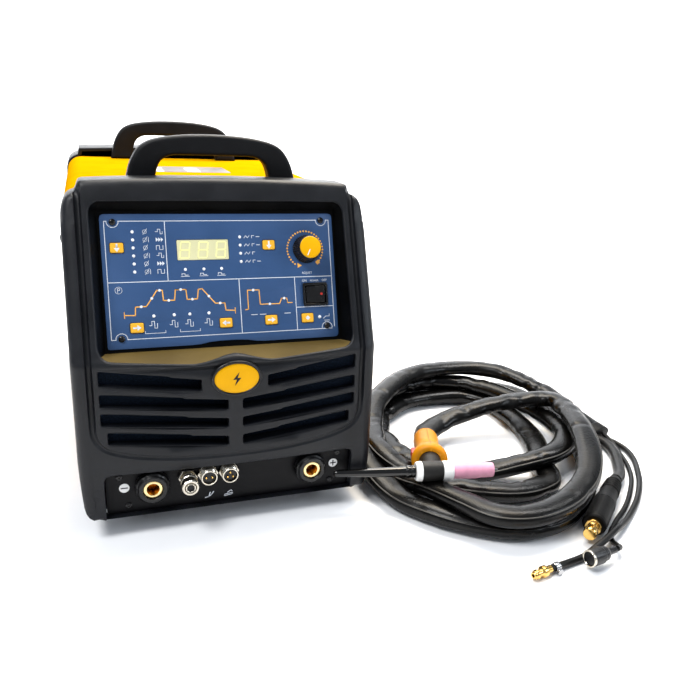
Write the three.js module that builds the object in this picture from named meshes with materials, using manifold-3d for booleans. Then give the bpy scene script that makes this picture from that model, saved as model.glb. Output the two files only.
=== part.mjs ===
// An inverter TIG welding machine with its torch set lying beside it.
// Millimetres, +Z up. The front faces -Y and +X is the right hand side seen from the front.
// The origin is the centre of the base tray's underside. The rubber feet reach below it.
import * as THREE from "three";
import { mergeVertices } from "three/addons/utils/BufferGeometryUtils.js";
import Module from "manifold-3d";

const wasm = await Module();
wasm.setup();

// ---------------------------------------------------------------- driving dimensions

const GAP = 0.3;                       // air between pieces that touch on the real machine
const rad = THREE.MathUtils.degToRad;

const CASE = { halfWidth: 140, halfLength: 265, top: 300, crown: 3, bottom: 1.5, footHeight: 19 };
const FLOOR = -CASE.footHeight;
const BEZEL = { inner: 176, wall: 4, front: 275, chinY: 271, chinZ: 148 };
const COVER = { halfWidth: 138.5, top: 289.5, sheet: 1.5, corner: 18, flange: 15 };
const TRAY = { halfWidth: 122, halfLength: 254, sheet: 1.5, rim: 18, raised: 0.5 };
const PLATEAU = { halfWidth: 100, halfLength: 205 };
const HANDLE = { half: 81, top: 340, thickness: 18, y: 161, gripHalf: 52, gripTop: 320 };
const FOOT = { x: 84, y: 225, topRadius: 17.6, bottomRadius: 16.4 };

// The control panel lies in a pocket of the upper face, sunk below a plane that leans back.
const FACE = { z: 218.6, y: -236.7, lean: rad(19), sink: 9.6 };
const POCKET = { half: 114, top: 67, bottom: -70 };
const PANEL = { halfWidth: 108, top: 59.2, bottom: -61.5, corner: 5, sheet: 2 };
const WINDOW = { x: -18.7, y: 26, width: 47, height: 18.4 };
const KNOB = { x: 80, y: 24.5, height: 17, baseRadius: 13.5, capRadius: 10.2 };
const ROCKER = { x: 86.3, y: -19.2, width: 24.8, height: 22.3 };
const BUTTON = { width: 11.6, height: 8.8, proud: 1.2, depth: 4.6 };
const BUTTONS = {
  button_mode: [-94.7, 29],
  button_display: [43.4, 29.5],
  button_next: [-81.8, -43.1],
  button_previous: [-1.8, -42.5],
  button_waveform: [41.5, -41.9],
  button_remote: [77.4, -41.8],
};

// Cooling slots in the lower face: a shallow V of four rows on either side of a centre pillar.
const SLOTS = [
  { outerX: 118, outer: [132.8, 146], innerX: 30.5, inner: [123.5, 134.5] },
  { outerX: 118, outer: [113.2, 124.5], innerX: 6.7, inner: [103.3, 113.3] },
  { outerX: 118, outer: [95.5, 106.6], innerX: 6.7, inner: [85.9, 95.1] },
  { outerX: 113, outer: [77.5, 88.4], innerX: 6.7, inner: [67.8, 77.3] },
];
const BADGE = { z: 133, a: 21, b: 15, thickness: 2.4 };

// Connection panel with the weld sockets, the gas outlet and the control sockets.
const CONNECT = { y: 265.5, sheet: 2, halfWidth: 118, top: 45.5 };
const WELD = { x: 76.5, z: 28, flange: 15.7, body: 12.4, bore: 5.7, contact: 8.8, proud: 11 };
const GAS = { x: -44, z: 33 };
const CONTROL_SOCKETS = { two_pin_socket: -25, three_pin_socket: -5 };
const CONTROL_Z = 34;

const FAN = { z: 150, y: 226, half: 60, depth: 25, ring: 56, hub: 22, blades: 7 };

// Torch: the head's centre and heading, the handle's angle to it and its slope to the floor.
const TORCH = { x: 198.5, y: -297.5, z: 22, yaw: rad(-11.5), lean: rad(-11), slope: rad(-9) };
const HEAD = { radius: 10.3, half: 10.7, bore: 3, neck: 11.4, neckLength: 39.6 };
const GRIP = { front: 28, rear: 114 };

// Torch lead: a loose coil of the sheathed lead, and three short leads that leave its end.
const COIL = { first: 22, second: 36, secondFrom: -240, tailX: 480, tailEnd: -213 };
const COIL_HOLE = { left: 188, right: 366, front: -283, back: -110, corner: 24 };
const COIL_OUTLINE = [
  [144, -212], [150, -165], [164, -110], [198, -58], [246, -17], [306, 3], [368, 5], [420, -15],
  [458, -62], [472, -120], [468, -180], [452, -238], [426, -284], [392, -324], [356, -354],
  [322, -376], [286, -390], [248, -386], [212, -366], [183, -336], [160, -298], [147, -256],
];

// ---------------------------------------------------------------- helpers

function finish(color, roughness, metalness = 0) {
  return () => new THREE.MeshStandardMaterial({ color, roughness, metalness });
}

const FINISH = {
  blackPlastic: finish(0x17181a, 0.6),
  yellowPaint: finish(0xf2a900, 0.45),
  bluePanel: finish(0x2f4f96, 0.45),
  yellowPlastic: finish(0xf4a712, 0.5),
  sheetSteel: finish(0x9a9da0, 0.45, 0.8),
  blackPaint: finish(0x141416, 0.5),
  brass: finish(0xc9963a, 0.3, 1),
  nickel: finish(0xc9c7c0, 0.25, 1),
  rubber: finish(0x101010, 0.9),
  foam: finish(0x15181d, 1),
  board: finish(0x1f5a34, 0.6),
  aluminium: finish(0xb8bbbe, 0.4, 0.9),
  copper: finish(0xb0672f, 0.4, 0.9),
  ferrite: finish(0x2d2d2f, 0.8),
  ceramic: finish(0xe39ab5, 0.4),
  whitePlastic: finish(0xf1f1ee, 0.4),
  redPlastic: finish(0xb3261b, 0.45),
  tungsten: finish(0x77777a, 0.3, 1),
  leadSheath: finish(0x121214, 0.5),
};

function part(parent, name, geometry, material) {
  const mesh = new THREE.Mesh(geometry, material());
  mesh.name = name;
  parent.add(mesh);
  return mesh;
}

function solid(geometry) {
  const bare = geometry.clone();
  bare.deleteAttribute("normal");
  bare.deleteAttribute("uv");
  const merged = mergeVertices(bare, 1e-4);
  const vertProperties = new Float32Array(merged.attributes.position.array);
  const triVerts = new Uint32Array(merged.index.array);
  return new wasm.Manifold(new wasm.Mesh({ numProp: 3, vertProperties, triVerts }));
}

function geometryOf(shape) {
  const mesh = shape.getMesh();
  const geometry = new THREE.BufferGeometry();
  geometry.setAttribute("position", new THREE.BufferAttribute(mesh.vertProperties, 3));
  geometry.setIndex(new THREE.BufferAttribute(mesh.triVerts, 1));
  geometry.computeVertexNormals();
  return geometry;
}

function cut(geometry, ...tools) {
  return geometryOf(tools.reduce((body, tool) => body.subtract(solid(tool)), solid(geometry)));
}

function join(geometry, ...others) {
  return geometryOf(others.reduce((body, other) => body.add(solid(other)), solid(geometry)));
}

function common(first, second) {
  return geometryOf(solid(first).intersect(solid(second)));
}

function box(width, depth, height, x = 0, y = 0, z = 0) {
  return new THREE.BoxGeometry(width, depth, height).translate(x, y, z);
}

function polygon(points) {
  return new THREE.Shape(points.map(([x, y]) => new THREE.Vector2(x, y)));
}

function extrude(shape, depth, curveSegments = 6) {
  return new THREE.ExtrudeGeometry(shape, { depth, bevelEnabled: false, curveSegments });
}

// A front-view outline (x, z) made solid from y0 back to y1.
function extrudeY(shape, y0, y1, curveSegments = 4) {
  return extrude(shape, y1 - y0, curveSegments).rotateX(Math.PI / 2).translate(0, y1, 0);
}

// A side-view outline (y, z) made solid from x0 to x1.
function extrudeX(shape, x0, x1, curveSegments) {
  const turn = new THREE.Matrix4().makeBasis(
    new THREE.Vector3(0, 1, 0), new THREE.Vector3(0, 0, 1), new THREE.Vector3(1, 0, 0));
  return extrude(shape, x1 - x0, curveSegments).applyMatrix4(turn).translate(x0, 0, 0);
}

function roundedRect(width, height, radius, x = 0, y = 0) {
  const shape = new THREE.Shape();
  const [left, right, low, high] = [x - width / 2, x + width / 2, y - height / 2, y + height / 2];
  shape.moveTo(left + radius, low);
  shape.lineTo(right - radius, low);
  shape.absarc(right - radius, low + radius, radius, -Math.PI / 2, 0);
  shape.lineTo(right, high - radius);
  shape.absarc(right - radius, high - radius, radius, 0, Math.PI / 2);
  shape.lineTo(left + radius, high);
  shape.absarc(left + radius, high - radius, radius, Math.PI / 2, Math.PI);
  shape.lineTo(left, low + radius);
  shape.absarc(left + radius, low + radius, radius, Math.PI, Math.PI * 1.5);
  return shape;
}

// A turned piece: (radius, height) points, starting and ending on the axis or closing.
// The profile is walked with its material on the left, so the faces point outwards.
function turned(points, sides = 14) {
  const profile = points.map(([r, h]) => new THREE.Vector2(r, h));
  if (THREE.ShapeUtils.area(profile) < 0) profile.reverse();
  return new THREE.LatheGeometry(profile, sides);
}

// A turned piece whose heights run out of the machine's front, along -Y.
function turnedForward(points, x, y, z, sides) {
  return turned(points, sides).rotateX(Math.PI).translate(x, y, z);
}

function ring(inner, outer, low, high, sides) {
  return turned([[inner, low], [outer, low], [outer, high], [inner, high], [inner, low]], sides);
}

function rod(radius, low, high, sides) {
  return turned([[0, low], [radius, low], [radius, high], [0, high]], sides);
}

// The y of the upright lower face at a height.
function lowerY(z) {
  const { front, chinY, chinZ } = BEZEL;
  return -front + ((front - chinY) * (z - CASE.bottom)) / (chinZ - CASE.bottom);
}

// The y of the leaning plane that the control panel is sunk below.
function leaningY(z) {
  return FACE.y + (z - FACE.z) * Math.tan(FACE.lean);
}

// ---------------------------------------------------------------- casing

// Front-view outline of both bezels, drawn inwards by an inset.
function bezelOutline(inset, bottom) {
  const half = CASE.halfWidth - inset;
  const shape = new THREE.Shape();
  shape.moveTo(-(half - 12), bottom);
  shape.lineTo(half - 12, bottom);
  shape.lineTo(half - 12, CASE.bottom);
  shape.quadraticCurveTo(half - 4, CASE.bottom + 2, half - 2, 16);
  shape.lineTo(half, 110);
  shape.lineTo(half, 268);
  shape.quadraticCurveTo(half, 286 - inset, half - 10, 290 - inset);
  shape.lineTo(half - 15, 292 - inset);
  shape.lineTo(half - 17, CASE.top - inset);
  shape.quadraticCurveTo(0, CASE.top + 2 * CASE.crown - inset, -(half - 17), CASE.top - inset);
  shape.lineTo(-(half - 15), 292 - inset);
  shape.lineTo(-(half - 10), 290 - inset);
  shape.quadraticCurveTo(-half, 286 - inset, -half, 268);
  shape.lineTo(-half, 110);
  shape.lineTo(-(half - 2), 16);
  shape.quadraticCurveTo(-(half - 4), CASE.bottom + 2, -(half - 12), CASE.bottom);
  return shape;
}

// Side-view outline of the front bezel: upright below the chin, leaning back above it.
function frontProfile(inset, bottom) {
  const top = CASE.top + CASE.crown + 0.5 - inset;
  return polygon([
    [lowerY(CASE.bottom) + inset, bottom],
    [-BEZEL.chinY + inset, BEZEL.chinZ],
    [leaningY(287) + inset, 287 - inset],
    [leaningY(287) + 3.7 + inset, 295.5 - inset],
    [-202, top - 2],
    [-195, top],
    [-BEZEL.inner + (inset ? 6 : 0), top],
    [-BEZEL.inner + (inset ? 6 : 0), bottom],
  ]);
}

// Places a solid drawn in the leaning face's own frame (x right, y up the face, z outwards).
function onFace(geometry) {
  return geometry.rotateX(Math.PI / 2 - FACE.lean).translate(0, FACE.y, FACE.z);
}

function faceBlock(halfWidth, bottom, top, radius, back, front) {
  const shape = roundedRect(2 * halfWidth, top - bottom, radius, 0, (top + bottom) / 2);
  return onFace(extrude(shape, front - back, 4).translate(0, 0, back));
}

function coolingSlots() {
  const slots = [];
  for (const slot of SLOTS) {
    for (const side of [-1, 1]) {
      const outline = polygon([
        [side * slot.outerX, slot.outer[0]],
        [side * slot.outerX, slot.outer[1]],
        [side * slot.innerX, slot.inner[1]],
        [side * slot.innerX, slot.inner[0]],
      ]);
      slots.push(extrudeY(outline, -290, -240));
    }
  }
  return slots;
}

function frontBezel() {
  const far = BEZEL.front + 10;
  const outer = common(
    extrudeY(bezelOutline(0, CASE.bottom), -far, -BEZEL.inner),
    extrudeX(frontProfile(0, CASE.bottom), -150, 150));
  const hollow = common(
    extrudeY(bezelOutline(BEZEL.wall, -5), -far, -BEZEL.inner + 6),
    extrudeX(frontProfile(BEZEL.wall, -5), -150, 150));
  const { half, top, bottom } = POCKET;
  const floorDepth = FACE.sink + PANEL.sheet + GAP;
  const pocketBlock = common(outer,
    faceBlock(half + 4, bottom - 4, top + 4, 10, -floorDepth - 4, 40));
  const pocket = faceBlock(half, bottom, top, 8, -floorDepth, 60);
  const opening = faceBlock(103, -54, 54, 4, -60, 0);
  const connectOpening = extrudeY(
    roundedRect(2 * CONNECT.halfWidth + 1, 100, 6, 0, CONNECT.top + 0.5 - 50), -290, -240);
  return cut(join(cut(outer, hollow), pocketBlock), pocket, opening, connectOpening,
    ...coolingSlots());
}

// Side-view outline of the rear bezel: an upright rear face with a rounded top edge.
function rearProfile(inset, bottom) {
  const top = CASE.top + CASE.crown + 0.5 - inset;
  const back = CASE.halfLength - inset;
  return polygon([
    [BEZEL.inner - (inset ? 6 : 0), bottom],
    [back, bottom],
    [back, 190],
    [back - 12, 286],
    [back - 16, top - 4],
    [back - 24, top],
    [BEZEL.inner - (inset ? 6 : 0), top],
  ]);
}

function fanGrille() {
  const bars = [];
  for (let row = -4; row <= 4; row += 1) {
    const half = Math.sqrt(FAN.ring ** 2 - (row * 11.5) ** 2) - 3;
    for (const side of [-1, 1]) {
      bars.push(box(half - 4, 60, 7, side * (4 + (half - 4) / 2), 260, FAN.z + row * 11.5));
    }
  }
  return bars;
}

const REAR = { gland: { x: -75, z: 60 }, gas: { x: 75, z: 60 } };

function rearBezel() {
  const far = CASE.halfLength + 10;
  const outer = common(
    extrudeY(bezelOutline(0, CASE.bottom), BEZEL.inner, far),
    extrudeX(rearProfile(0, CASE.bottom), -150, 150));
  const hollow = common(
    extrudeY(bezelOutline(BEZEL.wall, -5), BEZEL.inner - 6, far),
    extrudeX(rearProfile(BEZEL.wall, -5), -150, 150));
  const glandHole = rod(10.4, 240, 280, 20).translate(REAR.gland.x, 0, REAR.gland.z);
  const gasHole = rod(6.4, 240, 280, 16).translate(REAR.gas.x, 0, REAR.gas.z);
  return cut(outer, hollow, glandHole, gasHole, ...fanGrille());
}

// Folded sheet over both sides and the top, with flanges turned in along the bottom.
function caseCover() {
  const { halfWidth, top, sheet, corner, flange } = COVER;
  const low = 2.1;
  const path = (inset) => {
    const half = halfWidth - inset;
    const radius = corner - inset;
    const shape = new THREE.Shape();
    shape.moveTo(half - flange, low + (inset ? sheet : 0));
    shape.lineTo(half - 5 + inset, low + inset);
    shape.lineTo(half, 12);
    shape.lineTo(half, top - inset - radius);
    shape.absarc(half - radius, top - inset - radius, radius, 0, Math.PI / 2);
    shape.lineTo(-(half - radius), top - inset);
    shape.absarc(-(half - radius), top - inset - radius, radius, Math.PI / 2, Math.PI);
    shape.lineTo(-half, 12);
    shape.lineTo(-(half - 5 + inset), low + inset);
    shape.lineTo(-(half - flange), low + (inset ? sheet : 0));
    return shape.getPoints(5);
  };
  const outline = new THREE.Shape([...path(0), ...path(sheet).reverse()]);
  return extrudeY(outline, -BEZEL.inner + GAP, BEZEL.inner - GAP);
}

// The middle of the underside is a shallow plateau, so that it is one plain flat face.
function baseTray() {
  const { halfWidth, sheet, rim, halfLength, raised } = TRAY;
  const section = polygon([
    [-halfWidth, raised], [halfWidth, raised], [halfWidth, rim], [halfWidth - sheet, rim],
    [halfWidth - sheet, sheet], [-halfWidth + sheet, sheet], [-halfWidth + sheet, rim],
    [-halfWidth, rim],
  ]);
  const plateau = box(2 * PLATEAU.halfWidth, 2 * PLATEAU.halfLength, sheet - 0.2,
    0, 0, (sheet - 0.2) / 2);
  return join(extrudeY(section, -halfLength, halfLength), plateau);
}

// An arched carrying handle with flared legs that stand on the cover.
function handle(y) {
  const { half, top, thickness, gripHalf, gripTop } = HANDLE;
  const foot = COVER.top + GAP;
  const shape = new THREE.Shape();
  shape.moveTo(-half - 2, foot);
  shape.lineTo(-half - 1, foot + 4);
  shape.bezierCurveTo(-half + 5, 322, -half + 8, 333, -half + 26, 335.5);
  shape.bezierCurveTo(-35, 338, -15, top, 0, top);
  shape.bezierCurveTo(15, top, 35, 338, half - 26, 335.5);
  shape.bezierCurveTo(half - 8, 333, half - 5, 322, half + 1, foot + 4);
  shape.lineTo(half + 2, foot);
  shape.lineTo(gripHalf + 3, foot);
  shape.bezierCurveTo(gripHalf, 315, gripHalf - 4, gripTop, gripHalf - 14, gripTop);
  shape.lineTo(-gripHalf + 14, gripTop);
  shape.bezierCurveTo(-gripHalf + 4, gripTop, -gripHalf, 315, -gripHalf - 3, foot);
  return extrudeY(shape, y - thickness / 2, y + thickness / 2, 5);
}

function foot() {
  const { topRadius, bottomRadius } = FOOT;
  return turned([
    [0, FLOOR], [bottomRadius - 1, FLOOR], [bottomRadius, FLOOR + 1.5],
    [topRadius, -GAP], [0, -GAP],
  ], 14);
}

// Turned pieces stand on +Y, so feet are drawn with their heights turned up to +Z.
function standing(geometry, x = 0, y = 0, z = 0) {
  return geometry.rotateX(Math.PI / 2).translate(x, y, z);
}

function casing(machine) {
  part(machine, "front_bezel", frontBezel(), FINISH.blackPlastic);
  part(machine, "rear_bezel", rearBezel(), FINISH.blackPlastic);
  part(machine, "case_cover", caseCover(), FINISH.yellowPaint);
  part(machine, "base_tray", baseTray(), FINISH.sheetSteel);
  part(machine, "front_handle", handle(-HANDLE.y), FINISH.blackPlastic);
  part(machine, "rear_handle", handle(HANDLE.y), FINISH.blackPlastic);
  for (const [end, sy] of [["front", -1], ["rear", 1]]) {
    for (const [side, sx] of [["left", -1], ["right", 1]]) {
      const mesh = part(machine, `foot_${end}_${side}`, standing(foot()), FINISH.rubber);
      mesh.position.set(sx * FOOT.x, sy * FOOT.y, 0);
    }
  }
}

// ---------------------------------------------------------------- control panel

function panelOutline() {
  const { halfWidth, top, bottom, corner } = PANEL;
  const shape = new THREE.Shape();
  shape.moveTo(-halfWidth + corner, bottom);
  shape.lineTo(-34, bottom);
  shape.bezierCurveTo(-20, bottom, -18, bottom + 2.6, 0, bottom + 2.6);
  shape.bezierCurveTo(18, bottom + 2.6, 20, bottom, 34, bottom);
  shape.lineTo(halfWidth - corner, bottom);
  shape.absarc(halfWidth - corner, bottom + corner, corner, -Math.PI / 2, 0);
  shape.lineTo(halfWidth, top - corner);
  shape.absarc(halfWidth - corner, top - corner, corner, 0, Math.PI / 2);
  shape.lineTo(-halfWidth + corner, top);
  shape.absarc(-halfWidth + corner, top - corner, corner, Math.PI / 2, Math.PI);
  shape.lineTo(-halfWidth, bottom + corner);
  shape.absarc(-halfWidth + corner, bottom + corner, corner, Math.PI, Math.PI * 1.5);
  return shape;
}

function controlPanel() {
  const shape = panelOutline();
  for (const [x, y] of Object.values(BUTTONS)) {
    shape.holes.push(roundedRect(BUTTON.width + 0.8, BUTTON.height + 0.8, 1.6, x, y));
  }
  shape.holes.push(roundedRect(WINDOW.width + 0.6, WINDOW.height + 0.6, 1, WINDOW.x, WINDOW.y));
  shape.holes.push(roundedRect(22.8, 20.2, 1, ROCKER.x, ROCKER.y));
  const shaftHole = new THREE.Path();
  shaftHole.absarc(KNOB.x, KNOB.y, 5.4, 0, Math.PI * 2, true);
  shape.holes.push(shaftHole);
  return extrude(shape, PANEL.sheet, 4);
}

function button() {
  const { width, height, depth } = BUTTON;
  return extrude(roundedRect(width, height, 1.4), depth, 1).translate(0, 0, -depth);
}

// Knurled skirt under a smooth cap, bored for the dial's shaft.
function knob() {
  const { height, baseRadius, capRadius } = KNOB;
  const body = turned([
    [0, 13], [3.3, 13], [3.3, 0], [baseRadius, 0], [baseRadius, 2], [baseRadius - 1.2, 4],
    [capRadius + 1.2, height - 4], [capRadius, height - 1.5], [capRadius - 1.4, height], [0, height],
  ], 16);
  return body.rotateX(Math.PI / 2);
}

function dialPot() {
  return turned([
    [0, -8], [10, -8], [10, -2.6], [4.2, -2.6], [4.2, -0.4], [3, -0.4], [3, 12.5], [0, 12.5],
  ], 20).rotateX(Math.PI / 2);
}

function switchHousing() {
  const flange = extrude(roundedRect(ROCKER.width, ROCKER.height, 1.5), 2, 3);
  const body = box(22, 19.4, 9.5, 0, 0, -4.5);
  return cut(join(flange, body), box(20.6, 17, 20, 0, 0, 2.5));
}

// Seen along its pivot the rocker is a shallow V, its right half standing proud.
function switchRocker() {
  const profile = polygon([
    [-9.6, -4.1], [9.6, -4.1], [9.3, 0.3], [8.6, 4.3], [0, 1.1], [-8.6, 0.5], [-9.3, 0],
  ]);
  return extrude(profile, 16.2).translate(0, 0, -8.1).rotateX(Math.PI / 2);
}

function controlBoard() {
  const board = box(196, 100, 1.6);
  const display = box(46, 17, 5, WINDOW.x, WINDOW.y, 2.9);
  return join(board, display);
}

function frontPanel(machine) {
  const face = new THREE.Group();
  face.position.set(0, FACE.y, FACE.z);
  face.rotation.x = Math.PI / 2 - FACE.lean;
  machine.add(face);
  const surface = -FACE.sink;
  part(face, "control_panel", controlPanel(), FINISH.bluePanel)
    .position.z = surface - PANEL.sheet;
  for (const [name, [x, y]] of Object.entries(BUTTONS)) {
    part(face, name, button(), FINISH.yellowPlastic).position.set(x, y, surface + BUTTON.proud);
  }
  part(face, "dial_pot", dialPot(), FINISH.nickel).position.set(KNOB.x, KNOB.y, surface);
  part(face, "knob", knob(), FINISH.blackPlastic).position.set(KNOB.x, KNOB.y, surface + GAP);
  part(face, "switch_housing", switchHousing(), FINISH.blackPlastic)
    .position.set(ROCKER.x, ROCKER.y, surface + GAP);
  part(face, "switch_rocker", switchRocker(), FINISH.blackPlastic)
    .position.set(ROCKER.x, ROCKER.y, surface + GAP);
  part(face, "control_board", controlBoard(), FINISH.board).position.z = surface - 11.3;
}

// ---------------------------------------------------------------- lower front

function badge(machine) {
  const shape = new THREE.Shape();
  shape.absellipse(0, 0, BADGE.a, BADGE.b, 0, Math.PI * 2);
  const mesh = part(machine, "badge", extrude(shape, BADGE.thickness, 10), FINISH.yellowPlastic);
  const lean = Math.atan2(BEZEL.front - BEZEL.chinY, BEZEL.chinZ - CASE.bottom);
  mesh.rotation.x = Math.PI / 2 - lean;
  mesh.position.set(0, lowerY(BADGE.z) - GAP, BADGE.z);
}

function connectionPanel() {
  const { halfWidth, top, sheet } = CONNECT;
  const low = 2;
  const shape = roundedRect(2 * halfWidth, top - low, 5, 0, (top + low) / 2);
  const hole = (x, z, radius) => {
    const path = new THREE.Path();
    path.absarc(x, z, radius, 0, Math.PI * 2, true);
    shape.holes.push(path);
  };
  hole(-WELD.x, WELD.z, WELD.body + 0.5);
  hole(WELD.x, WELD.z, WELD.body + 0.5);
  hole(GAS.x, GAS.z, 5.5);
  for (const x of Object.values(CONTROL_SOCKETS)) hole(x, CONTROL_Z, 6.5);
  return extrudeY(shape, -CONNECT.y, -CONNECT.y + sheet, 8);
}

// Heights run outwards from the connection panel's front surface.
function weldSocketHousing(x) {
  const { flange, body, contact, proud } = WELD;
  return turnedForward([
    [contact + GAP, -19], [body, -19], [body, GAP], [flange, GAP], [flange, proud - 4],
    [flange - 2, proud - 0.5], [flange - 3, proud], [contact + GAP, proud], [contact + GAP, -19],
  ], x, -CONNECT.y, WELD.z, 16);
}

function weldSocketContact(x) {
  const { contact, bore, proud } = WELD;
  return turnedForward([
    [0, -34], [4, -34], [4, -22], [contact, -22], [contact, proud - 1.5],
    [bore, proud - 1.5], [bore, -17], [0, -17],
  ], x, -CONNECT.y, WELD.z, 16);
}

// Hexagon and barrel with a raised snap ring and a recessed valve face.
function gasOutletBody() {
  const hexagon = turned([[0, GAP], [9.4, GAP], [9.4, 5.5], [0, 5.5]], 6);
  const barrel = turned([
    [0, -16], [5, -16], [5, 24], [4.2, 25], [3.4, 25], [3.4, 22.5], [0, 22.5],
  ], 14);
  return join(hexagon, barrel).rotateX(Math.PI).translate(GAS.x, -CONNECT.y, GAS.z);
}

function gasOutletSleeve() {
  return turnedForward([
    [5.3, 10.5], [7.4, 10.5], [8, 12], [8, 14], [7.3, 15], [7.3, 20], [8, 21], [8, 23.5],
    [7.2, 24.5], [5.3, 24.5], [5.3, 10.5],
  ], GAS.x, -CONNECT.y, GAS.z, 14);
}

// Threaded barrel with a nut, an insulating disc and its pins in one moulded insert.
function controlSocket(x, pins) {
  const barrel = turned([
    [0, -14], [6.2, -14], [6.2, GAP], [9, GAP], [9, 3], [7.8, 3.4], [7.8, 12], [6.4, 12],
    [6.4, 9], [0, 9],
  ], 14);
  const posts = [];
  for (let pin = 0; pin < pins; pin += 1) {
    const angle = (pin / pins) * Math.PI * 2 + Math.PI / 2 * (pins - 2);
    posts.push(rod(0.9, 8, 11.5, 8).translate(3 * Math.cos(angle), 0, 3 * Math.sin(angle)));
  }
  return join(barrel, ...posts).rotateX(Math.PI).translate(x, -CONNECT.y, CONTROL_Z);
}

function lowerFront(machine) {
  badge(machine);
  part(machine, "front_filter", box(240, 5, 85, 0, -263, 104.5), FINISH.foam);
  part(machine, "connection_panel", connectionPanel(), FINISH.blackPaint);
  for (const [name, x] of [["negative_socket", -WELD.x], ["positive_socket", WELD.x]]) {
    part(machine, `${name}_housing`, weldSocketHousing(x), FINISH.blackPlastic);
    part(machine, `${name}_contact`, weldSocketContact(x), FINISH.brass);
  }
  part(machine, "gas_outlet_body", gasOutletBody(), FINISH.nickel);
  part(machine, "gas_outlet_sleeve", gasOutletSleeve(), FINISH.nickel);
  part(machine, "two_pin_socket", controlSocket(CONTROL_SOCKETS.two_pin_socket, 2),
    FINISH.nickel);
  part(machine, "three_pin_socket", controlSocket(CONTROL_SOCKETS.three_pin_socket, 3),
    FINISH.nickel);
}

// ---------------------------------------------------------------- rear and inside

function fanFrame() {
  const { half, depth, ring: radius, z, y } = FAN;
  const frame = roundedRect(2 * half, 2 * half, 5);
  const hole = new THREE.Path();
  hole.absarc(0, 0, radius, 0, Math.PI * 2, true);
  frame.holes.push(hole);
  const struts = [];
  for (let arm = 0; arm < 4; arm += 1) {
    struts.push(box(radius - 14, 3, 5, (radius - 14) / 2 + 15, depth - 1.5, 0)
      .rotateY(arm * Math.PI / 2 + Math.PI / 4));
  }
  const motor = rod(20, depth - 5, depth, 20);
  return join(extrudeY(frame, 0, depth, 10), motor, ...struts).translate(0, y, z);
}

function fanRotor() {
  const { ring: radius, hub, blades, z, y } = FAN;
  const blade = () => box(radius - hub, 2, 20, hub + (radius - hub) / 2 - 3.5, 0, 0)
    .rotateX(rad(40));
  const all = [];
  for (let index = 0; index < blades; index += 1) {
    all.push(blade().rotateY((index / blades) * Math.PI * 2));
  }
  return join(rod(hub, -8, 10, 20), ...all).translate(0, y + 9, z);
}

function mainsGland() {
  const points = [
    [5.5, -16], [9.8, -16], [9.8, GAP], [14, GAP], [14, 6], [12.5, 7], [12.5, 20],
    [9, 26], [5.5, 26], [5.5, -16],
  ];
  return turned(points, 18).translate(REAR.gland.x, CASE.halfLength, REAR.gland.z);
}

// Barbed brass nipple for the regulator hose.
function gasInlet() {
  const barbs = [];
  for (let barb = 0; barb < 3; barb += 1) {
    barbs.push([4.2, 10 + barb * 6], [3.2, 15 + barb * 6]);
  }
  const points = [[0, -14], [5.8, -14], [5.8, GAP], [8, GAP], [8, 7], [3.2, 7], ...barbs,
    [3, 28], [1.8, 28], [1.8, 25], [0, 25]];
  return turned(points, 16).translate(REAR.gas.x, CASE.halfLength, REAR.gas.z);
}

const SHELF = { z: 160, halfWidth: 116, sheet: 1.5, front: -150, rear: 150 };

// Inverted U of sheet that stands on the tray and carries the main board.
function boardShelf() {
  const { z, halfWidth, sheet, front, rear } = SHELF;
  const low = TRAY.sheet + GAP;
  const section = polygon([
    [-halfWidth, low], [-halfWidth + sheet, low], [-halfWidth + sheet, z - sheet],
    [halfWidth - sheet, z - sheet], [halfWidth - sheet, low], [halfWidth, low],
    [halfWidth, z], [-halfWidth, z],
  ]);
  return extrudeY(section, front, rear);
}

function heatsink() {
  const low = TRAY.sheet + GAP;
  const points = [[-48, low], [48, low], [48, 62]];
  for (let fin = 0; fin < 8; fin += 1) {
    const right = 48 - fin * 12;
    points.push([right - 4, 62], [right - 4, low + 8]);
    if (fin < 7) points.push([right - 12, low + 8], [right - 12, 62]);
  }
  points.push([-48, low + 8]);
  return extrudeY(polygon(points), -90, 90).translate(-56, 0, 0);
}

function transformer() {
  const core = box(64, 66, 60, 0, 0, 30);
  const winding = box(84, 40, 42, 0, 0, 30);
  return join(core, winding).translate(56, -80, TRAY.sheet + GAP);
}

function outputChoke() {
  return standing(ring(16, 42, 0, 34, 24), 56, 20, TRAY.sheet + GAP);
}

function highFrequencyUnit() {
  const base = box(70, 50, 36, 0, 0, 18);
  const coil = rod(14, -30, 30, 16).translate(0, 0, 46).rotateZ(Math.PI / 2);
  return join(base, coil).translate(56, 100, TRAY.sheet + GAP);
}

function gasValve() {
  const body = box(26, 40, 20, 0, 0, 10);
  const coil = standing(rod(15, 0, 34, 18), 0, 0, 20 - 0.5);
  return join(body, coil).translate(80, 196, TRAY.sheet + GAP);
}

function mainBoard() {
  const board = box(220, 280, 1.8);
  const bank = [];
  for (let index = 0; index < 4; index += 1) {
    bank.push(standing(rod(15, 0, 40, 16), -80 + index * 36, -90, 0));
  }
  return join(board, box(80, 60, 34, -50, 60, 17), box(40, 120, 22, 70, 40, 11), ...bank)
    .translate(0, 0, SHELF.z + GAP + 0.9);
}

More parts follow.
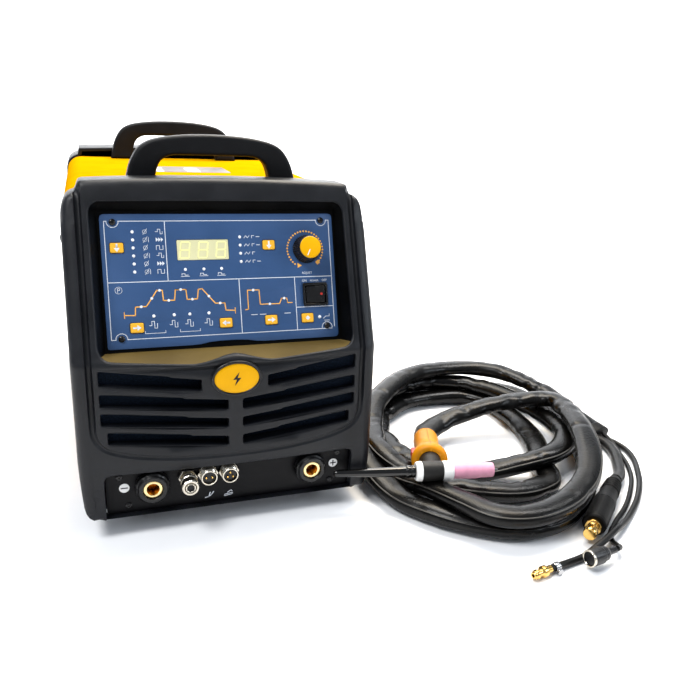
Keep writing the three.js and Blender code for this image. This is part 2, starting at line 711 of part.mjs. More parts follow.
function inside(machine) {
  part(machine, "fan_frame", fanFrame(), FINISH.blackPlastic);
  part(machine, "fan_rotor", fanRotor(), FINISH.blackPlastic);
  part(machine, "mains_gland", mainsGland(), FINISH.blackPlastic);
  part(machine, "gas_inlet", gasInlet(), FINISH.brass);
  part(machine, "board_shelf", boardShelf(), FINISH.sheetSteel);
  part(machine, "main_board", mainBoard(), FINISH.board);
  part(machine, "heatsink", heatsink(), FINISH.aluminium);
  part(machine, "transformer", transformer(), FINISH.ferrite);
  part(machine, "output_choke", outputChoke(), FINISH.copper);
  part(machine, "hf_unit", highFrequencyUnit(), FINISH.board);
  part(machine, "gas_valve", gasValve(), FINISH.brass);
}

// ---------------------------------------------------------------- torch

// Turned pieces of the head stand on +Y, so they are laid along the head's own +X.
function alongHead(points, sides) {
  return turned(points, sides).rotateZ(-Math.PI / 2);
}

function torchHead() {
  const { radius, half, bore, neck, neckLength } = HEAD;
  const body = alongHead([[0, -half], [radius - 0.6, -half], [radius, -half + 0.8],
    [radius, half - 0.8], [radius - 0.6, half], [0, half]], 16);
  const stem = turned([[0, 0], [7.5, 0], [8.4, 12], [neck, 26], [neck, neckLength],
    [0, neckLength]], 16).rotateX(TORCH.slope).rotateZ(TORCH.lean);
  return cut(join(body, stem), alongHead([[0, -40], [bore, -40], [bore, 40], [0, 40]], 14));
}

const TRIGGER = { y: 52, length: 22, height: 9, proud: 3, travel: 2.5 };

// Flared collar round the neck, a waist and a rounded rear end, with a pocket for the trigger.
function torchHandle() {
  const { front, rear } = GRIP;
  const body = turned([
    [0, 40], [11.9, 40], [11.9, front], [17, front], [19.4, front + 2], [19.8, front + 6],
    [18.6, front + 14], [15.4, front + 23], [14.1, front + 32], [14, 80], [14.6, 102],
    [13.8, rear - 3], [10.4, rear], [0, rear],
  ], 16);
  const pocket = box(20, TRIGGER.length + 0.8, TRIGGER.height + 0.8, -18.4, TRIGGER.y, 0);
  return cut(body, pocket);
}

function trigger() {
  const { length, height, proud } = TRIGGER;
  const shape = roundedRect(proud + 4.4, length, 2.4);
  return extrude(shape, height, 3).translate(-13.9 - proud / 2, TRIGGER.y, -height / 2);
}

function backCap() {
  return alongHead([
    [0, -95], [2, -95], [2, -17.6], [6.4, -17.6], [6.4, -25], [5.4, -27], [5.2, -34],
    [3.6, -98], [2.6, -101], [0, -101.7],
  ], 14);
}

function cupGasket() {
  return alongHead([
    [2.4, 11], [10.2, 11], [10.2, 19.5], [9.4, 21.7], [2.4, 21.7], [2.4, 11],
  ], 16);
}

function ceramicCup() {
  return alongHead([
    [5, 22], [8.2, 22], [8.6, 30], [8.6, 44], [8.2, 50], [7.6, 63.6], [7.1, 65], [4.9, 65],
    [4.9, 26], [5, 22],
  ], 16);
}

function electrode() {
  return alongHead([[0, -70], [1.2, -70], [1.2, 66], [0, 70.5]], 12);
}

function torch(set) {
  const head = new THREE.Group();
  head.position.set(TORCH.x, TORCH.y, TORCH.z);
  head.rotation.z = TORCH.yaw;
  set.add(head);
  const grip = new THREE.Group();
  grip.rotation.set(TORCH.slope, 0, TORCH.lean, "ZXY");
  head.add(grip);
  part(head, "torch_head", torchHead(), FINISH.blackPlastic);
  part(head, "back_cap", backCap(), FINISH.blackPlastic);
  part(head, "cup_gasket", cupGasket(), FINISH.whitePlastic);
  part(head, "ceramic_cup", ceramicCup(), FINISH.ceramic);
  part(head, "electrode", electrode(), FINISH.tungsten);
  part(grip, "torch_handle", torchHandle(), FINISH.yellowPlastic);
  part(grip, "torch_trigger", trigger(), FINISH.redPlastic);
}

// ---------------------------------------------------------------- leads

// A tube of round section along a hand-set route.
function lead(points, radius, sides, steps) {
  const route = new THREE.CatmullRomCurve3(points.map((p) => new THREE.Vector3(...p)), false,
    "centripetal");
  const section = new THREE.Shape();
  for (let side = 0; side < sides; side += 1) {
    const angle = (side / sides) * Math.PI * 2;
    const [x, y] = [radius * Math.cos(angle), radius * Math.sin(angle)];
    if (side === 0) section.moveTo(x, y);
    else section.lineTo(x, y);
  }
  section.closePath();
  return new THREE.ExtrudeGeometry(section, { steps, extrudePath: route, bevelEnabled: false });
}

// The coil's outer shape: one layer all round, a second layer on the back and the right.
function leadCoil() {
  const { first, second, secondFrom, tailX, tailEnd } = COIL;
  const { left, right, front, back, corner } = COIL_HOLE;
  const rim = new THREE.CatmullRomCurve3(
    COIL_OUTLINE.map(([x, y]) => new THREE.Vector3(x, y, 0)), true, "centripetal");
  const outline = new THREE.Shape(rim.getPoints(30).slice(0, -1));
  outline.holes.push(
    roundedRect(right - left, back - front, corner, (left + right) / 2, (front + back) / 2));
  const lowLayer = extrude(outline, first, 4).translate(0, 0, FLOOR);
  const bothLayers = extrude(outline, first + second, 4).translate(0, 0, FLOOR);
  const rear = box(800, 400, 200, 300, secondFrom + 200, 0);
  const tail = box(29, 60, first, tailX, tailEnd + 30, FLOOR + first / 2);
  return join(lowLayer, common(bothLayers, rear), tail);
}

const ROUTES = {
  torch_lead_run: [
    [243.2, -190, 2.8], [249, -180, 2.8], [257, -172.5, 3.5], [271, -166, 5], [291, -160, 9],
    [310, -157, 13], [329, -156, 17], [349, -156, 20],
  ],
  power_cable: [
    [472, -214.5, -12.2], [474, -235, -12.3], [467, -258, -12.3], [453, -281, -12.3],
    [436, -304, -11], [417, -320, -7],
  ],
  gas_hose: [
    [490, -214.5, -15.4], [494, -228, -15.5], [494, -248, -15.5], [486, -270, -15.5],
    [472, -293, -15.5], [452, -320, -15.5], [424, -349, -15.5], [393, -374, -15.5],
    [369, -391, -12], [355, -399.5, -9.4], [337, -409, -9.4], [318, -417, -11.5],
    [299, -423, -15], [277, -427.2, -15.2], [256.2, -432, -13.6],
  ],
  control_cable: [
    [483, -214.5, -6.5], [486, -232, -13.5], [480, -253, -16], [468, -281, -16],
    [450, -309, -16], [424, -337, -16], [399, -359.5, -16], [372.5, -378.5, -16],
    [351, -396, -16], [344, -408, -16], [341, -418, -13.5], [337, -426, -9.5],
    [329.6, -430.4, -6.7],
  ],
};

// Local +Y of a lead's end piece points along its heading on the floor.
function layAlong(geometry, at, headingDegrees) {
  return geometry.rotateZ(rad(headingDegrees)).translate(...at);
}

function powerPlugBoot() {
  return turned([
    [0, -6], [7, -6], [8, 0], [9.6, 20], [10.2, 34], [11.6, 50], [12.1, 54], [12.1, 96],
    [10, 100], [4.9, 100], [4.9, 98], [0, 98],
  ], 16);
}

function powerPlugPin() {
  return turned([
    [0, 98.5], [4.5, 98.5], [4.5, 100.4], [8, 100.4], [8, 105], [5.5, 105], [5.5, 118],
    [4.4, 120], [0, 120],
  ], 14);
}

function gasHoseFitting() {
  return turned([
    [0, 0], [3.6, 0], [3.6, 6], [5.4, 6.5], [5.4, 11.5], [3.4, 12.5], [3.4, 16], [4.4, 17],
    [4.4, 20], [2.4, 21.5], [0, 21.5],
  ], 16);
}

function controlPlug() {
  return turned([
    [0, -14], [4, -14], [5, -6], [6.6, -2], [6.6, 10], [8.2, 11], [8.2, 20], [6.8, 21],
    [6.8, 18.5], [0, 18.5],
  ], 14);
}

const LEAD_ENDS = {
  boot: { at: [409.5, -326, -6.8], heading: 130.5 },
  fitting: { at: [255.8, -432.1, -13.5], heading: 102.5 },
  plug: { at: [313, -433.6, -6.7], heading: 99.8 },
};

function leads(set) {
  part(set, "torch_lead_coil", leadCoil(), FINISH.leadSheath);
  part(set, "torch_lead_run", lead(ROUTES.torch_lead_run, 11.5, 10, 12), FINISH.leadSheath);
  part(set, "power_cable", lead(ROUTES.power_cable, 6.5, 10, 10), FINISH.rubber);
  part(set, "gas_hose", lead(ROUTES.gas_hose, 3.3, 8, 24), FINISH.rubber);
  part(set, "control_cable", lead(ROUTES.control_cable, 2.6, 8, 22), FINISH.rubber);
  const { boot, fitting, plug } = LEAD_ENDS;
  part(set, "power_plug_boot", layAlong(powerPlugBoot(), boot.at, boot.heading), FINISH.rubber);
  part(set, "power_plug_pin", layAlong(powerPlugPin(), boot.at, boot.heading), FINISH.brass);
  part(set, "gas_hose_fitting", layAlong(gasHoseFitting(), fitting.at, fitting.heading),
    FINISH.brass);
  part(set, "control_plug", layAlong(controlPlug(), plug.at, plug.heading), FINISH.blackPlastic);
}

// ---------------------------------------------------------------- assembly

const welder = new THREE.Group();
const machine = new THREE.Group();
const torchSet = new THREE.Group();
welder.add(machine, torchSet);

casing(machine);
frontPanel(machine);
lowerFront(machine);
inside(machine);
torch(torchSet);
leads(torchSet);

export default welder;
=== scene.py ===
import math
import random

import bmesh
import bpy
from mathutils import Matrix, Vector
from mathutils.geometry import delaunay_2d_cdt


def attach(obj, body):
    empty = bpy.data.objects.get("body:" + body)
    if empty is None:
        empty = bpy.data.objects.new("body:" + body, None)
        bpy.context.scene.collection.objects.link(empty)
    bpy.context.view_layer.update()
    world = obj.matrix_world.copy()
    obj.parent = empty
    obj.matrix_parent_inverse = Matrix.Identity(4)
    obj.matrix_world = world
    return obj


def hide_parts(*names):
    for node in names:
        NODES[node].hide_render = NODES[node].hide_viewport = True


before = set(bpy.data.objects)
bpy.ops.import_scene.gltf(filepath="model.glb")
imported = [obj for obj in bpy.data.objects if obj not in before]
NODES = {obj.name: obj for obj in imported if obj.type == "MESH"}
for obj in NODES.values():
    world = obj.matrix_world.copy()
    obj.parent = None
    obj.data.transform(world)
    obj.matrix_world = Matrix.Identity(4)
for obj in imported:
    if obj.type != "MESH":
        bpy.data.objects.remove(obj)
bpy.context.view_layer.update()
MM = 0.001
rng = random.Random(7)
FLOOR_Z = -19.0


# ------------------------------------------------------------------ helpers

def V(*values):
    return Vector(values)


def shade(mesh, angle=35):
    mesh.polygons.foreach_set("use_smooth", [True] * len(mesh.polygons))
    mesh.set_sharp_from_angle(angle=math.radians(angle))
    mesh.update()


def piece(name, verts, faces, material, body, angle=35, slot=None):
    """A mesh piece from points in millimetres, riding on a body."""
    mesh = bpy.data.meshes.new(name)
    mesh.from_pydata([(x * MM, y * MM, z * MM) for x, y, z in verts], [], faces)
    mesh.validate()
    made = bmesh.new()
    made.from_mesh(mesh)
    bmesh.ops.remove_doubles(made, verts=made.verts, dist=0.00001)
    bmesh.ops.recalc_face_normals(made, faces=made.faces)
    made.to_mesh(mesh)
    made.free()
    shade(mesh, angle)
    thing = bpy.data.objects.new(name, mesh)
    bpy.context.scene.collection.objects.link(thing)
    mesh.materials.append(material)
    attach(thing, body)
    return thing


def joined(parts):
    """Several (verts, faces) lists made into one."""
    verts, faces = [], []
    for more_verts, more_faces in parts:
        base = len(verts)
        verts += more_verts
        faces += [tuple(base + i for i in face) for face in more_faces]
    return verts, faces


def rounded(points, radius, closed=False, steps=3):
    """A polyline whose corners are arcs of about this radius."""
    count = len(points)
    out = []
    for i, p in enumerate(points):
        if not closed and i in (0, count - 1):
            out.append(tuple(p))
            continue
        a, b, c = (Vector(points[(i - 1) % count]), Vector(p), Vector(points[(i + 1) % count]))
        u, v = a - b, c - b
        if u.length < 1e-9 or v.length < 1e-9 or abs(u.angle(v) - math.pi) < 0.09:
            out.append(tuple(b))
            continue
        cut = min(radius / math.tan(u.angle(v) / 2), u.length * 0.45, v.length * 0.45)
        start, end = b + u.normalized() * cut, b + v.normalized() * cut
        for step in range(steps + 1):
            t = step / steps
            out.append(tuple((1 - t) ** 2 * start + 2 * t * (1 - t) * b + t * t * end))
    return out


def axes_matrix(origin, axis, up=(0, 0, 1)):
    """Local +Z goes to the axis; local +Y is as near to up as it can be."""
    z = Vector(axis).normalized()
    up = Vector(up)
    if abs(z.dot(up)) > 0.98:
        up = Vector((0, 1, 0))
    x = up.cross(z).normalized()
    y = z.cross(x)
    return Matrix(((x.x, y.x, z.x, origin[0]), (x.y, y.y, z.y, origin[1]),
                   (x.z, y.z, z.z, origin[2]), (0, 0, 0, 1)))


def moved(data, matrix):
    verts, faces = data
    return [tuple(matrix @ Vector(v)) for v in verts], faces


def lathe(profile, segments=48, corner=0.4, wobble=None):
    """Turns a (radius, height) profile round local Z. wobble(angle, height) scales the radius."""
    line = rounded(profile, corner) if corner else list(profile)
    verts, faces = [], []
    for r, h in line:
        for k in range(segments):
            a = 2 * math.pi * k / segments
            s = wobble(a, h) if wobble else 1
            verts.append((r * s * math.cos(a), r * s * math.sin(a), h))
    for j in range(len(line) - 1):
        for k in range(segments):
            n = (k + 1) % segments
            faces.append((j * segments + k, j * segments + n,
                          (j + 1) * segments + n, (j + 1) * segments + k))
    for j in (0, len(line) - 1):
        if line[j][0] > 0.01:
            continue
        for k in range(segments):
            verts[j * segments + k] = (0, 0, line[j][1])
    return verts, faces


def plate(loops, low, high, bevel=0.4, steps=2):
    """A flat plate from closed (x, y) loops, the first the outside, with rounded edges."""
    curve = bpy.data.curves.new("plate", "CURVE")
    curve.dimensions = "2D"
    curve.fill_mode = "BOTH"
    curve.extrude = ((high - low) / 2 - bevel) * MM
    curve.bevel_depth = bevel * MM
    curve.bevel_resolution = steps
    curve.offset = -bevel * MM
    for loop in loops:
        spline = curve.splines.new("POLY")
        spline.points.add(len(loop) - 1)
        for point, (x, y) in zip(spline.points, loop):
            point.co = (x * MM, y * MM, 0, 1)
        spline.use_cyclic_u = True
    thing = bpy.data.objects.new("plate", curve)
    bpy.context.scene.collection.objects.link(thing)
    ready = thing.evaluated_get(bpy.context.evaluated_depsgraph_get())
    mesh = bpy.data.meshes.new_from_object(ready)
    middle = (high + low) / 2
    verts = [(v.co.x / MM, v.co.y / MM, v.co.z / MM + middle) for v in mesh.vertices]
    faces = [tuple(p.vertices) for p in mesh.polygons]
    bpy.data.objects.remove(thing)
    bpy.data.curves.remove(curve)
    bpy.data.meshes.remove(mesh)
    return verts, faces


def circle(x, y, radius, count=40):
    return [(x + radius * math.cos(2 * math.pi * k / count),
             y + radius * math.sin(2 * math.pi * k / count)) for k in range(count)]


def rectangle(x, y, width, height, corner=1.0, steps=4):
    w, h = width / 2, height / 2
    return rounded([(x - w, y - h), (x + w, y - h), (x + w, y + h), (x - w, y + h)],
                   corner, True, steps)


def smooth_path(points, spacing, closed=False):
    """Catmull-Rom through the points, resampled evenly in length."""
    pts = [Vector(p) for p in points]
    count = len(pts)
    dense = []
    for i in range(count if closed else count - 1):
        if closed:
            a, b, c, d = (pts[(i + k) % count] for k in (-1, 0, 1, 2))
        else:
            a, b, c, d = pts[max(i - 1, 0)], pts[i], pts[i + 1], pts[min(i + 2, count - 1)]
        for step in range(16):
            t = step / 16
            dense.append(0.5 * (2 * b + (c - a) * t + (2 * a - 5 * b + 4 * c - d) * t * t
                                + (3 * b - a - 3 * c + d) * t ** 3))
    dense.append(pts[0] if closed else pts[-1])
    lengths = [0.0]
    for a, b in zip(dense, dense[1:]):
        lengths.append(lengths[-1] + (b - a).length)
    total = lengths[-1]
    count = max(2, round(total / spacing))
    out, j = [], 0
    for k in range(count + (0 if closed else 1)):
        want = total * k / count
        while j < len(lengths) - 2 and lengths[j + 1] < want:
            j += 1
        span = max(lengths[j + 1] - lengths[j], 1e-9)
        out.append(dense[j].lerp(dense[j + 1], (want - lengths[j]) / span))
    return out


def path_length(points):
    return sum((Vector(b) - Vector(a)).length for a, b in zip(points, points[1:]))


def tube(points, section, sides=20, flat=True):
    """A tube along the points. section(s, angle) gives (across, along up) at arc length s."""
    verts, faces = [], []
    travelled = 0.0
    side = None
    for i, p in enumerate(points):
        a, b = points[max(i - 1, 0)], points[min(i + 1, len(points) - 1)]
        tangent = (b - a).normalized()
        if flat or side is None:
            side = tangent.cross(Vector((0, 0, 1))).normalized()
        side = (side - tangent * side.dot(tangent)).normalized()
        up = side.cross(tangent)
        if i:
            travelled += (p - points[i - 1]).length
        for k in range(sides):
            across, rise = section(travelled, 2 * math.pi * k / sides)
            verts.append(tuple(p + side * across + up * rise))
    for i in range(len(points) - 1):
        for k in range(sides):
            n = (k + 1) % sides
            faces.append((i * sides + k, i * sides + n, (i + 1) * sides + n, (i + 1) * sides + k))
    faces.append(tuple(range(sides)))
    last = (len(points) - 1) * sides
    faces.append(tuple(last + k for k in reversed(range(sides))))
    return verts, faces


def stacked(rows, sides, shape):
    """Rings of (height, half width, half depth); shape(angle, height) scales both ways."""
    verts, faces = [], []
    for h, a, b in rows:
        for k in range(sides):
            t = 2 * math.pi * k / sides
            wide, deep = shape(t, h)
            verts.append((a * wide * math.cos(t), b * deep * math.sin(t), h))
    for j in range(len(rows) - 1):
        for k in range(sides):
            n = (k + 1) % sides
            faces.append((j * sides + k, j * sides + n, (j + 1) * sides + n,
                          (j + 1) * sides + k))
    return verts, faces


# ------------------------------------------------------------------ materials

def material(name, colour, rough=0.5, metal=0.0, grain=(300, 0.1), tint=0.15, tint_scale=40,
             rough_spread=0.08, streak=None, second=None, specular=0.5, emission=None):
    """Procedural finish: cloudy colour, cloudy roughness and a fine bump, in metres."""
    made = bpy.data.materials.new(name)
    made.use_nodes = True
    tree = made.node_tree
    nodes, links = tree.nodes, tree.links
    shader = nodes["Principled BSDF"]
    shader.inputs["Metallic"].default_value = metal
    shader.inputs["Specular IOR Level"].default_value = specular
    place = nodes.new("ShaderNodeTexCoord")
    spot = place.outputs["Object"]
    if streak:
        stretch = nodes.new("ShaderNodeMapping")
        stretch.inputs["Scale"].default_value = streak
        links.new(spot, stretch.inputs["Vector"])
        spot = stretch.outputs["Vector"]
    cloud = nodes.new("ShaderNodeTexNoise")
    cloud.inputs["Scale"].default_value = tint_scale
    cloud.inputs["Detail"].default_value = 5
    links.new(spot, cloud.inputs["Vector"])
    ramp = nodes.new("ShaderNodeValToRGB")
    ramp.color_ramp.elements[0].position = 0.35
    ramp.color_ramp.elements[1].position = 0.65
    low = second or [c * (1 - tint) for c in colour]
    high = [min(1, c * (1 + tint)) for c in colour]
    ramp.color_ramp.elements[0].color = (*low, 1)
    ramp.color_ramp.elements[1].color = (*high, 1)
    links.new(cloud.outputs["Fac"], ramp.inputs["Fac"])
    links.new(ramp.outputs["Color"], shader.inputs["Base Color"])
    spread = nodes.new("ShaderNodeMapRange")
    spread.inputs["From Min"].default_value = 0.3
    spread.inputs["From Max"].default_value = 0.7
    spread.inputs["To Min"].default_value = max(0.02, rough - rough_spread)
    spread.inputs["To Max"].default_value = min(1, rough + rough_spread)
    links.new(cloud.outputs["Fac"], spread.inputs["Value"])
    links.new(spread.outputs["Result"], shader.inputs["Roughness"])
    fine = nodes.new("ShaderNodeTexNoise")
    fine.inputs["Scale"].default_value = grain[0]
    fine.inputs["Detail"].default_value = 3
    links.new(spot, fine.inputs["Vector"])
    bump = nodes.new("ShaderNodeBump")
    bump.inputs["Strength"].default_value = grain[1]
    bump.inputs["Distance"].default_value = 0.0004
    links.new(fine.outputs["Fac"], bump.inputs["Height"])
    links.new(bump.outputs["Normal"], shader.inputs["Normal"])
    if emission:
        shader.inputs["Emission Color"].default_value = (*emission[:3], 1)
        shader.inputs["Emission Strength"].default_value = emission[3]
    return made


BEZEL = material("moulded_black", (0.0052, 0.0060, 0.0082), 0.4, grain=(2200, 0.35), tint=0.2,
                 rough_spread=0.05, specular=0.28)
SMOOTH = material("smooth_black", (0.0045, 0.0045, 0.005), 0.3, grain=(700, 0.08), specular=0.35)
# Painted shade: the panel recess's walls and floor get a darker, duller black than the bezel they
# belong to.
RECESS_PAINTED_SHADE = material("recess_painted_shade", (0.0012, 0.0012, 0.0012), 0.4, grain=(900, 0.1), specular=0.08)
# Painted highlight: the brown of the black ledge under the control panel stands in for warm light
# reflected off it.
LEDGE_PAINTED_HIGHLIGHT = material("recess_ledge_painted_highlight", (0.115, 0.079, 0.022), 0.5, grain=(900, 0.12), tint=0.2,
                 tint_scale=14, specular=0.2)
HANDLE = material("handle_black", (0.0048, 0.005, 0.006), 0.46, grain=(1800, 0.5),
                  rough_spread=0.06, specular=0.16)
YELLOW = material("yellow_coat", (0.50, 0.235, 0.0008), 0.6, grain=(500, 0.12), tint=0.05,
                  rough_spread=0.05, specular=0.0)
GOLD_PLASTIC = material("yellow_plastic", (0.56, 0.215, 0.002), 0.42, grain=(900, 0.12), tint=0.09,
                        specular=0.2)
BUTTON = material("button_yellow", (0.84, 0.44, 0.03), 0.42, grain=(900, 0.1), tint=0.05,
                  specular=0.3)
BLUE = material("panel_film", (0.026, 0.072, 0.185), 0.36, grain=(1600, 0.14), tint=0.06,
                tint_scale=25, specular=0.5)
WHITE_INK = material("white_ink", (0.70, 0.74, 0.80), 0.5, grain=(900, 0.05), tint=0.05)
ORANGE_INK = material("orange_ink", (0.86, 0.42, 0.07), 0.5, grain=(900, 0.05), tint=0.06)
BLACK_INK = material("black_ink", (0.003, 0.003, 0.0035), 0.4, grain=(900, 0.05), specular=0.3)
LENS = material("display_lens", (0.64, 0.62, 0.37), 0.3, grain=(500, 0.04), tint=0.06,
                tint_scale=30, specular=0.2)
DIGIT = material("display_digit", (0.90, 0.86, 0.36), 0.45, grain=(500, 0.02), tint=0.05,
                 tint_scale=45, emission=(0.9, 0.85, 0.45, 0.12))
LED_CLEAR = material("led_clear", (0.86, 0.88, 0.9), 0.3, grain=(500, 0.02),
                     emission=(0.9, 0.93, 1.0, 0.15))
KNURL = material("knob_black", (0.0035, 0.0035, 0.004), 0.36, grain=(1500, 0.3), specular=0.35)
KNOB_CAP = material("knob_yellow", (0.74, 0.37, 0.001), 0.4, grain=(700, 0.08), tint=0.05,
                    specular=0.12)
FOAM = material("filter_foam", (0.006, 0.010, 0.018), 0.95, grain=(1500, 1.0), tint=0.4,
                tint_scale=900, second=(0.0008, 0.0013, 0.0026), specular=0.05)
PLATE = material("plate_black", (0.0024, 0.0024, 0.0034), 0.4, grain=(1300, 0.25), specular=0.14)
BRASS = material("brass", (0.72, 0.45, 0.13), 0.2, 1, grain=(1200, 0.12), tint=0.14,
                 tint_scale=160)
BRASS_PALE = material("brass_face", (0.92, 0.72, 0.36), 0.3, 1, grain=(1200, 0.1), tint=0.08,
                      tint_scale=160)
BRASS_DARK = material("brass_old", (0.36, 0.20, 0.06), 0.34, 1, grain=(1200, 0.2), tint=0.35,
                      tint_scale=180)
NICKEL = material("nickel", (0.60, 0.56, 0.48), 0.2, 1, grain=(1200, 0.08), tint=0.14)
STEEL = material("plated_steel", (0.45, 0.46, 0.47), 0.36, 1, grain=(900, 0.15), tint=0.1)
SCREW = material("black_screw", (0.02, 0.02, 0.021), 0.24, 0.7, grain=(1200, 0.1))
ZINC = material("zinc_screw", (0.42, 0.42, 0.43), 0.28, 1, grain=(1200, 0.1))
RUBBER = material("rubber", (0.003, 0.0029, 0.0028), 0.5, grain=(1500, 0.35), tint=0.25,
                  specular=0.1)
CABLE = material("cable_rubber", (0.0032, 0.003, 0.0029), 0.4, grain=(1400, 0.22), tint=0.2,
                 specular=0.2)
SLEEVE = material("sleeve", (0.0021, 0.002, 0.0019), 0.27, grain=(420, 0.6), tint=0.4,
                  tint_scale=22, rough_spread=0.08, specular=0.2)
SEAM = material("sleeve_seam", (0.012, 0.011, 0.009), 0.42, grain=(900, 0.4), tint=0.3,
                specular=0.4)
TORCH_BLACK = material("torch_black", (0.0085, 0.008, 0.0075), 0.5, grain=(1500, 0.4), tint=0.2,
                       specular=0.3)
CAP_BLACK = material("cap_black", (0.0025, 0.0025, 0.0025), 0.14, grain=(700, 0.05), tint=0.1)
WHITE = material("white_insulator", (0.86, 0.86, 0.85), 0.35, grain=(800, 0.06), tint=0.03)
PINK = material("pink_ceramic", (0.76, 0.34, 0.47), 0.45, grain=(1300, 0.22), tint=0.07,
                tint_scale=120, specular=0.3)
RED = material("red_plastic", (0.42, 0.02, 0.012), 0.35, grain=(800, 0.08))
TUNGSTEN = material("tungsten", (0.20, 0.20, 0.21), 0.3, 1, grain=(1500, 0.2))
STICKER = material("sticker", (0.13, 0.105, 0.09), 0.4, grain=(500, 0.05), tint=0.08)
BOARD = material("circuit_board", (0.016, 0.10, 0.04), 0.4, grain=(1200, 0.3), tint=0.3,
                 tint_scale=200)
ALUMINIUM = material("aluminium", (0.6, 0.61, 0.62), 0.36, 1, grain=(800, 0.2), tint=0.08,
                     streak=(1, 12, 1))
COPPER = material("copper", (0.48, 0.19, 0.07), 0.35, 1, grain=(900, 0.5), tint=0.2,
                  tint_scale=180)
FERRITE = material("ferrite", (0.03, 0.03, 0.031), 0.6, grain=(900, 0.3), tint=0.2)


def finish_cad():
    """Every CAD node gets its finish, whether it stays shown or not."""
    table = {
        BEZEL: "front_bezel rear_bezel", YELLOW: "case_cover", HANDLE: "front_handle rear_handle",
        STEEL: "base_tray board_shelf", BLUE: "control_panel", FOAM: "front_filter",
        PLATE: "connection_panel", RUBBER: "foot_front_left foot_front_right foot_rear_left "
        "foot_rear_right power_plug_boot", SMOOTH: "switch_housing switch_rocker fan_frame "
        "fan_rotor mains_gland negative_socket_housing positive_socket_housing control_plug",
        BRASS: "negative_socket_contact positive_socket_contact gas_inlet gas_valve "
        "power_plug_pin gas_hose_fitting", NICKEL: "dial_pot gas_outlet_body gas_outlet_sleeve "
        "two_pin_socket three_pin_socket", BOARD: "control_board main_board hf_unit",
        ALUMINIUM: "heatsink", COPPER: "output_choke", FERRITE: "transformer",
        KNURL: "knob", GOLD_PLASTIC: "badge torch_handle", TORCH_BLACK: "torch_head",
        CAP_BLACK: "back_cap", WHITE: "cup_gasket", PINK: "ceramic_cup", TUNGSTEN: "electrode",
        RED: "torch_trigger", SLEEVE: "torch_lead_coil torch_lead_run",
        CABLE: "power_cable gas_hose control_cable",
        BUTTON: "button_mode button_display button_next button_previous button_waveform "
        "button_remote",
    }
    for made, names in table.items():
        for name in names.split():
            data = NODES[name].data
            data.materials.clear()
            data.materials.append(made)


# ------------------------------------------------------------------ camera, floor, light

CAMERA_AT = (-0.1159, -0.8800, 0.3747)
CAMERA_LOOK = (0.331234, 0.885504, -0.325832)
CAMERA_ROLL = 0.0523
CAMERA_SENSOR, CAMERA_LENS = 36, 36 * 715.2 / 700


def camera_and_light():
    look = V(*CAMERA_LOOK).normalized()
    right = look.cross(V(0, 0, 1)).normalized()
    up = right.cross(look)
    roll = CAMERA_ROLL
    across = right * math.cos(roll) + up * math.sin(roll)
    upward = -right * math.sin(roll) + up * math.cos(roll)
    camera = bpy.data.objects.new("camera", bpy.data.cameras.new("camera"))
    bpy.context.scene.collection.objects.link(camera)
    camera.matrix_world = Matrix((
        (across.x, upward.x, -look.x, CAMERA_AT[0]), (across.y, upward.y, -look.y, CAMERA_AT[1]),
        (across.z, upward.z, -look.z, CAMERA_AT[2]), (0, 0, 0, 1)))
    camera.data.sensor_width = CAMERA_SENSOR
    camera.data.lens = CAMERA_LENS
    camera.data.clip_start = 0.01
    bpy.context.scene.camera = camera

    low, back, radius, high = (FLOOR_Z - 0.4) * MM, 1.5, 1.1, 3.4
    line = [(-4.0, low), (back, low)]
    for k in range(1, 13):
        a = math.pi / 2 * k / 12
        line.append((back + radius * math.sin(a), low + radius * (1 - math.cos(a))))
    line.append((back + radius, high))
    verts = [(x, y, z) for x in (-12, 12) for y, z in line]
    count = len(line)
    mesh = bpy.data.meshes.new("floor")
    mesh.from_pydata(verts, [], [(k, k + 1, count + k + 1, count + k) for k in range(count - 1)])
    mesh.polygons.foreach_set("use_smooth", [True] * len(mesh.polygons))
    floor = bpy.data.objects.new("floor", mesh)
    bpy.context.scene.collection.objects.link(floor)
    mesh.materials.append(material("floor_paper", (0.88, 0.89, 0.91), 0.6, tint=0.008,
                                   grain=(60, 0.02), specular=0.2))

    world = bpy.data.worlds.new("studio")
    bpy.context.scene.world = world
    world.use_nodes = True
    world.node_tree.nodes["Background"].inputs[0].default_value = (0.86, 0.92, 1.0, 1)
    world.node_tree.nodes["Background"].inputs[1].default_value = 0.42

    def area(name, place, aim, size, power, colour=(1, 1, 1)):
        light = bpy.data.lights.new(name, "AREA")
        light.energy = power
        light.size = size
        light.color = colour
        thing = bpy.data.objects.new(name, light)
        bpy.context.scene.collection.objects.link(thing)
        thing.location = place
        thing.rotation_euler = (Vector(aim) - Vector(place)).to_track_quat("-Z", "Y").to_euler()

    area("key", (-1.0, -0.75, 2.0), (0.05, -0.1, 0.1), 0.8, 42)
    area("side", (1.5, -1.1, 0.9), (0.25, -0.25, 0.05), 0.5, 9, (0.85, 0.92, 1.0))
    area("top_back", (0.5, 1.0, 1.9), (0.15, 0, 0.1), 0.9, 26, (1.0, 0.88, 0.68))
    area("rim", (0.65, 0.09, 1.9), (0.0, -0.2, 0.3), 0.35, 7, (1.0, 0.7, 0.33))
    area("backdrop", (0.9, 0.6, 2.4), (1.1, 2.5, 0.7), 2.0, 190)
    bpy.context.scene.view_settings.view_transform = "Standard"
    bpy.context.scene.view_settings.look = "None"


# ------------------------------------------------------------------ cords

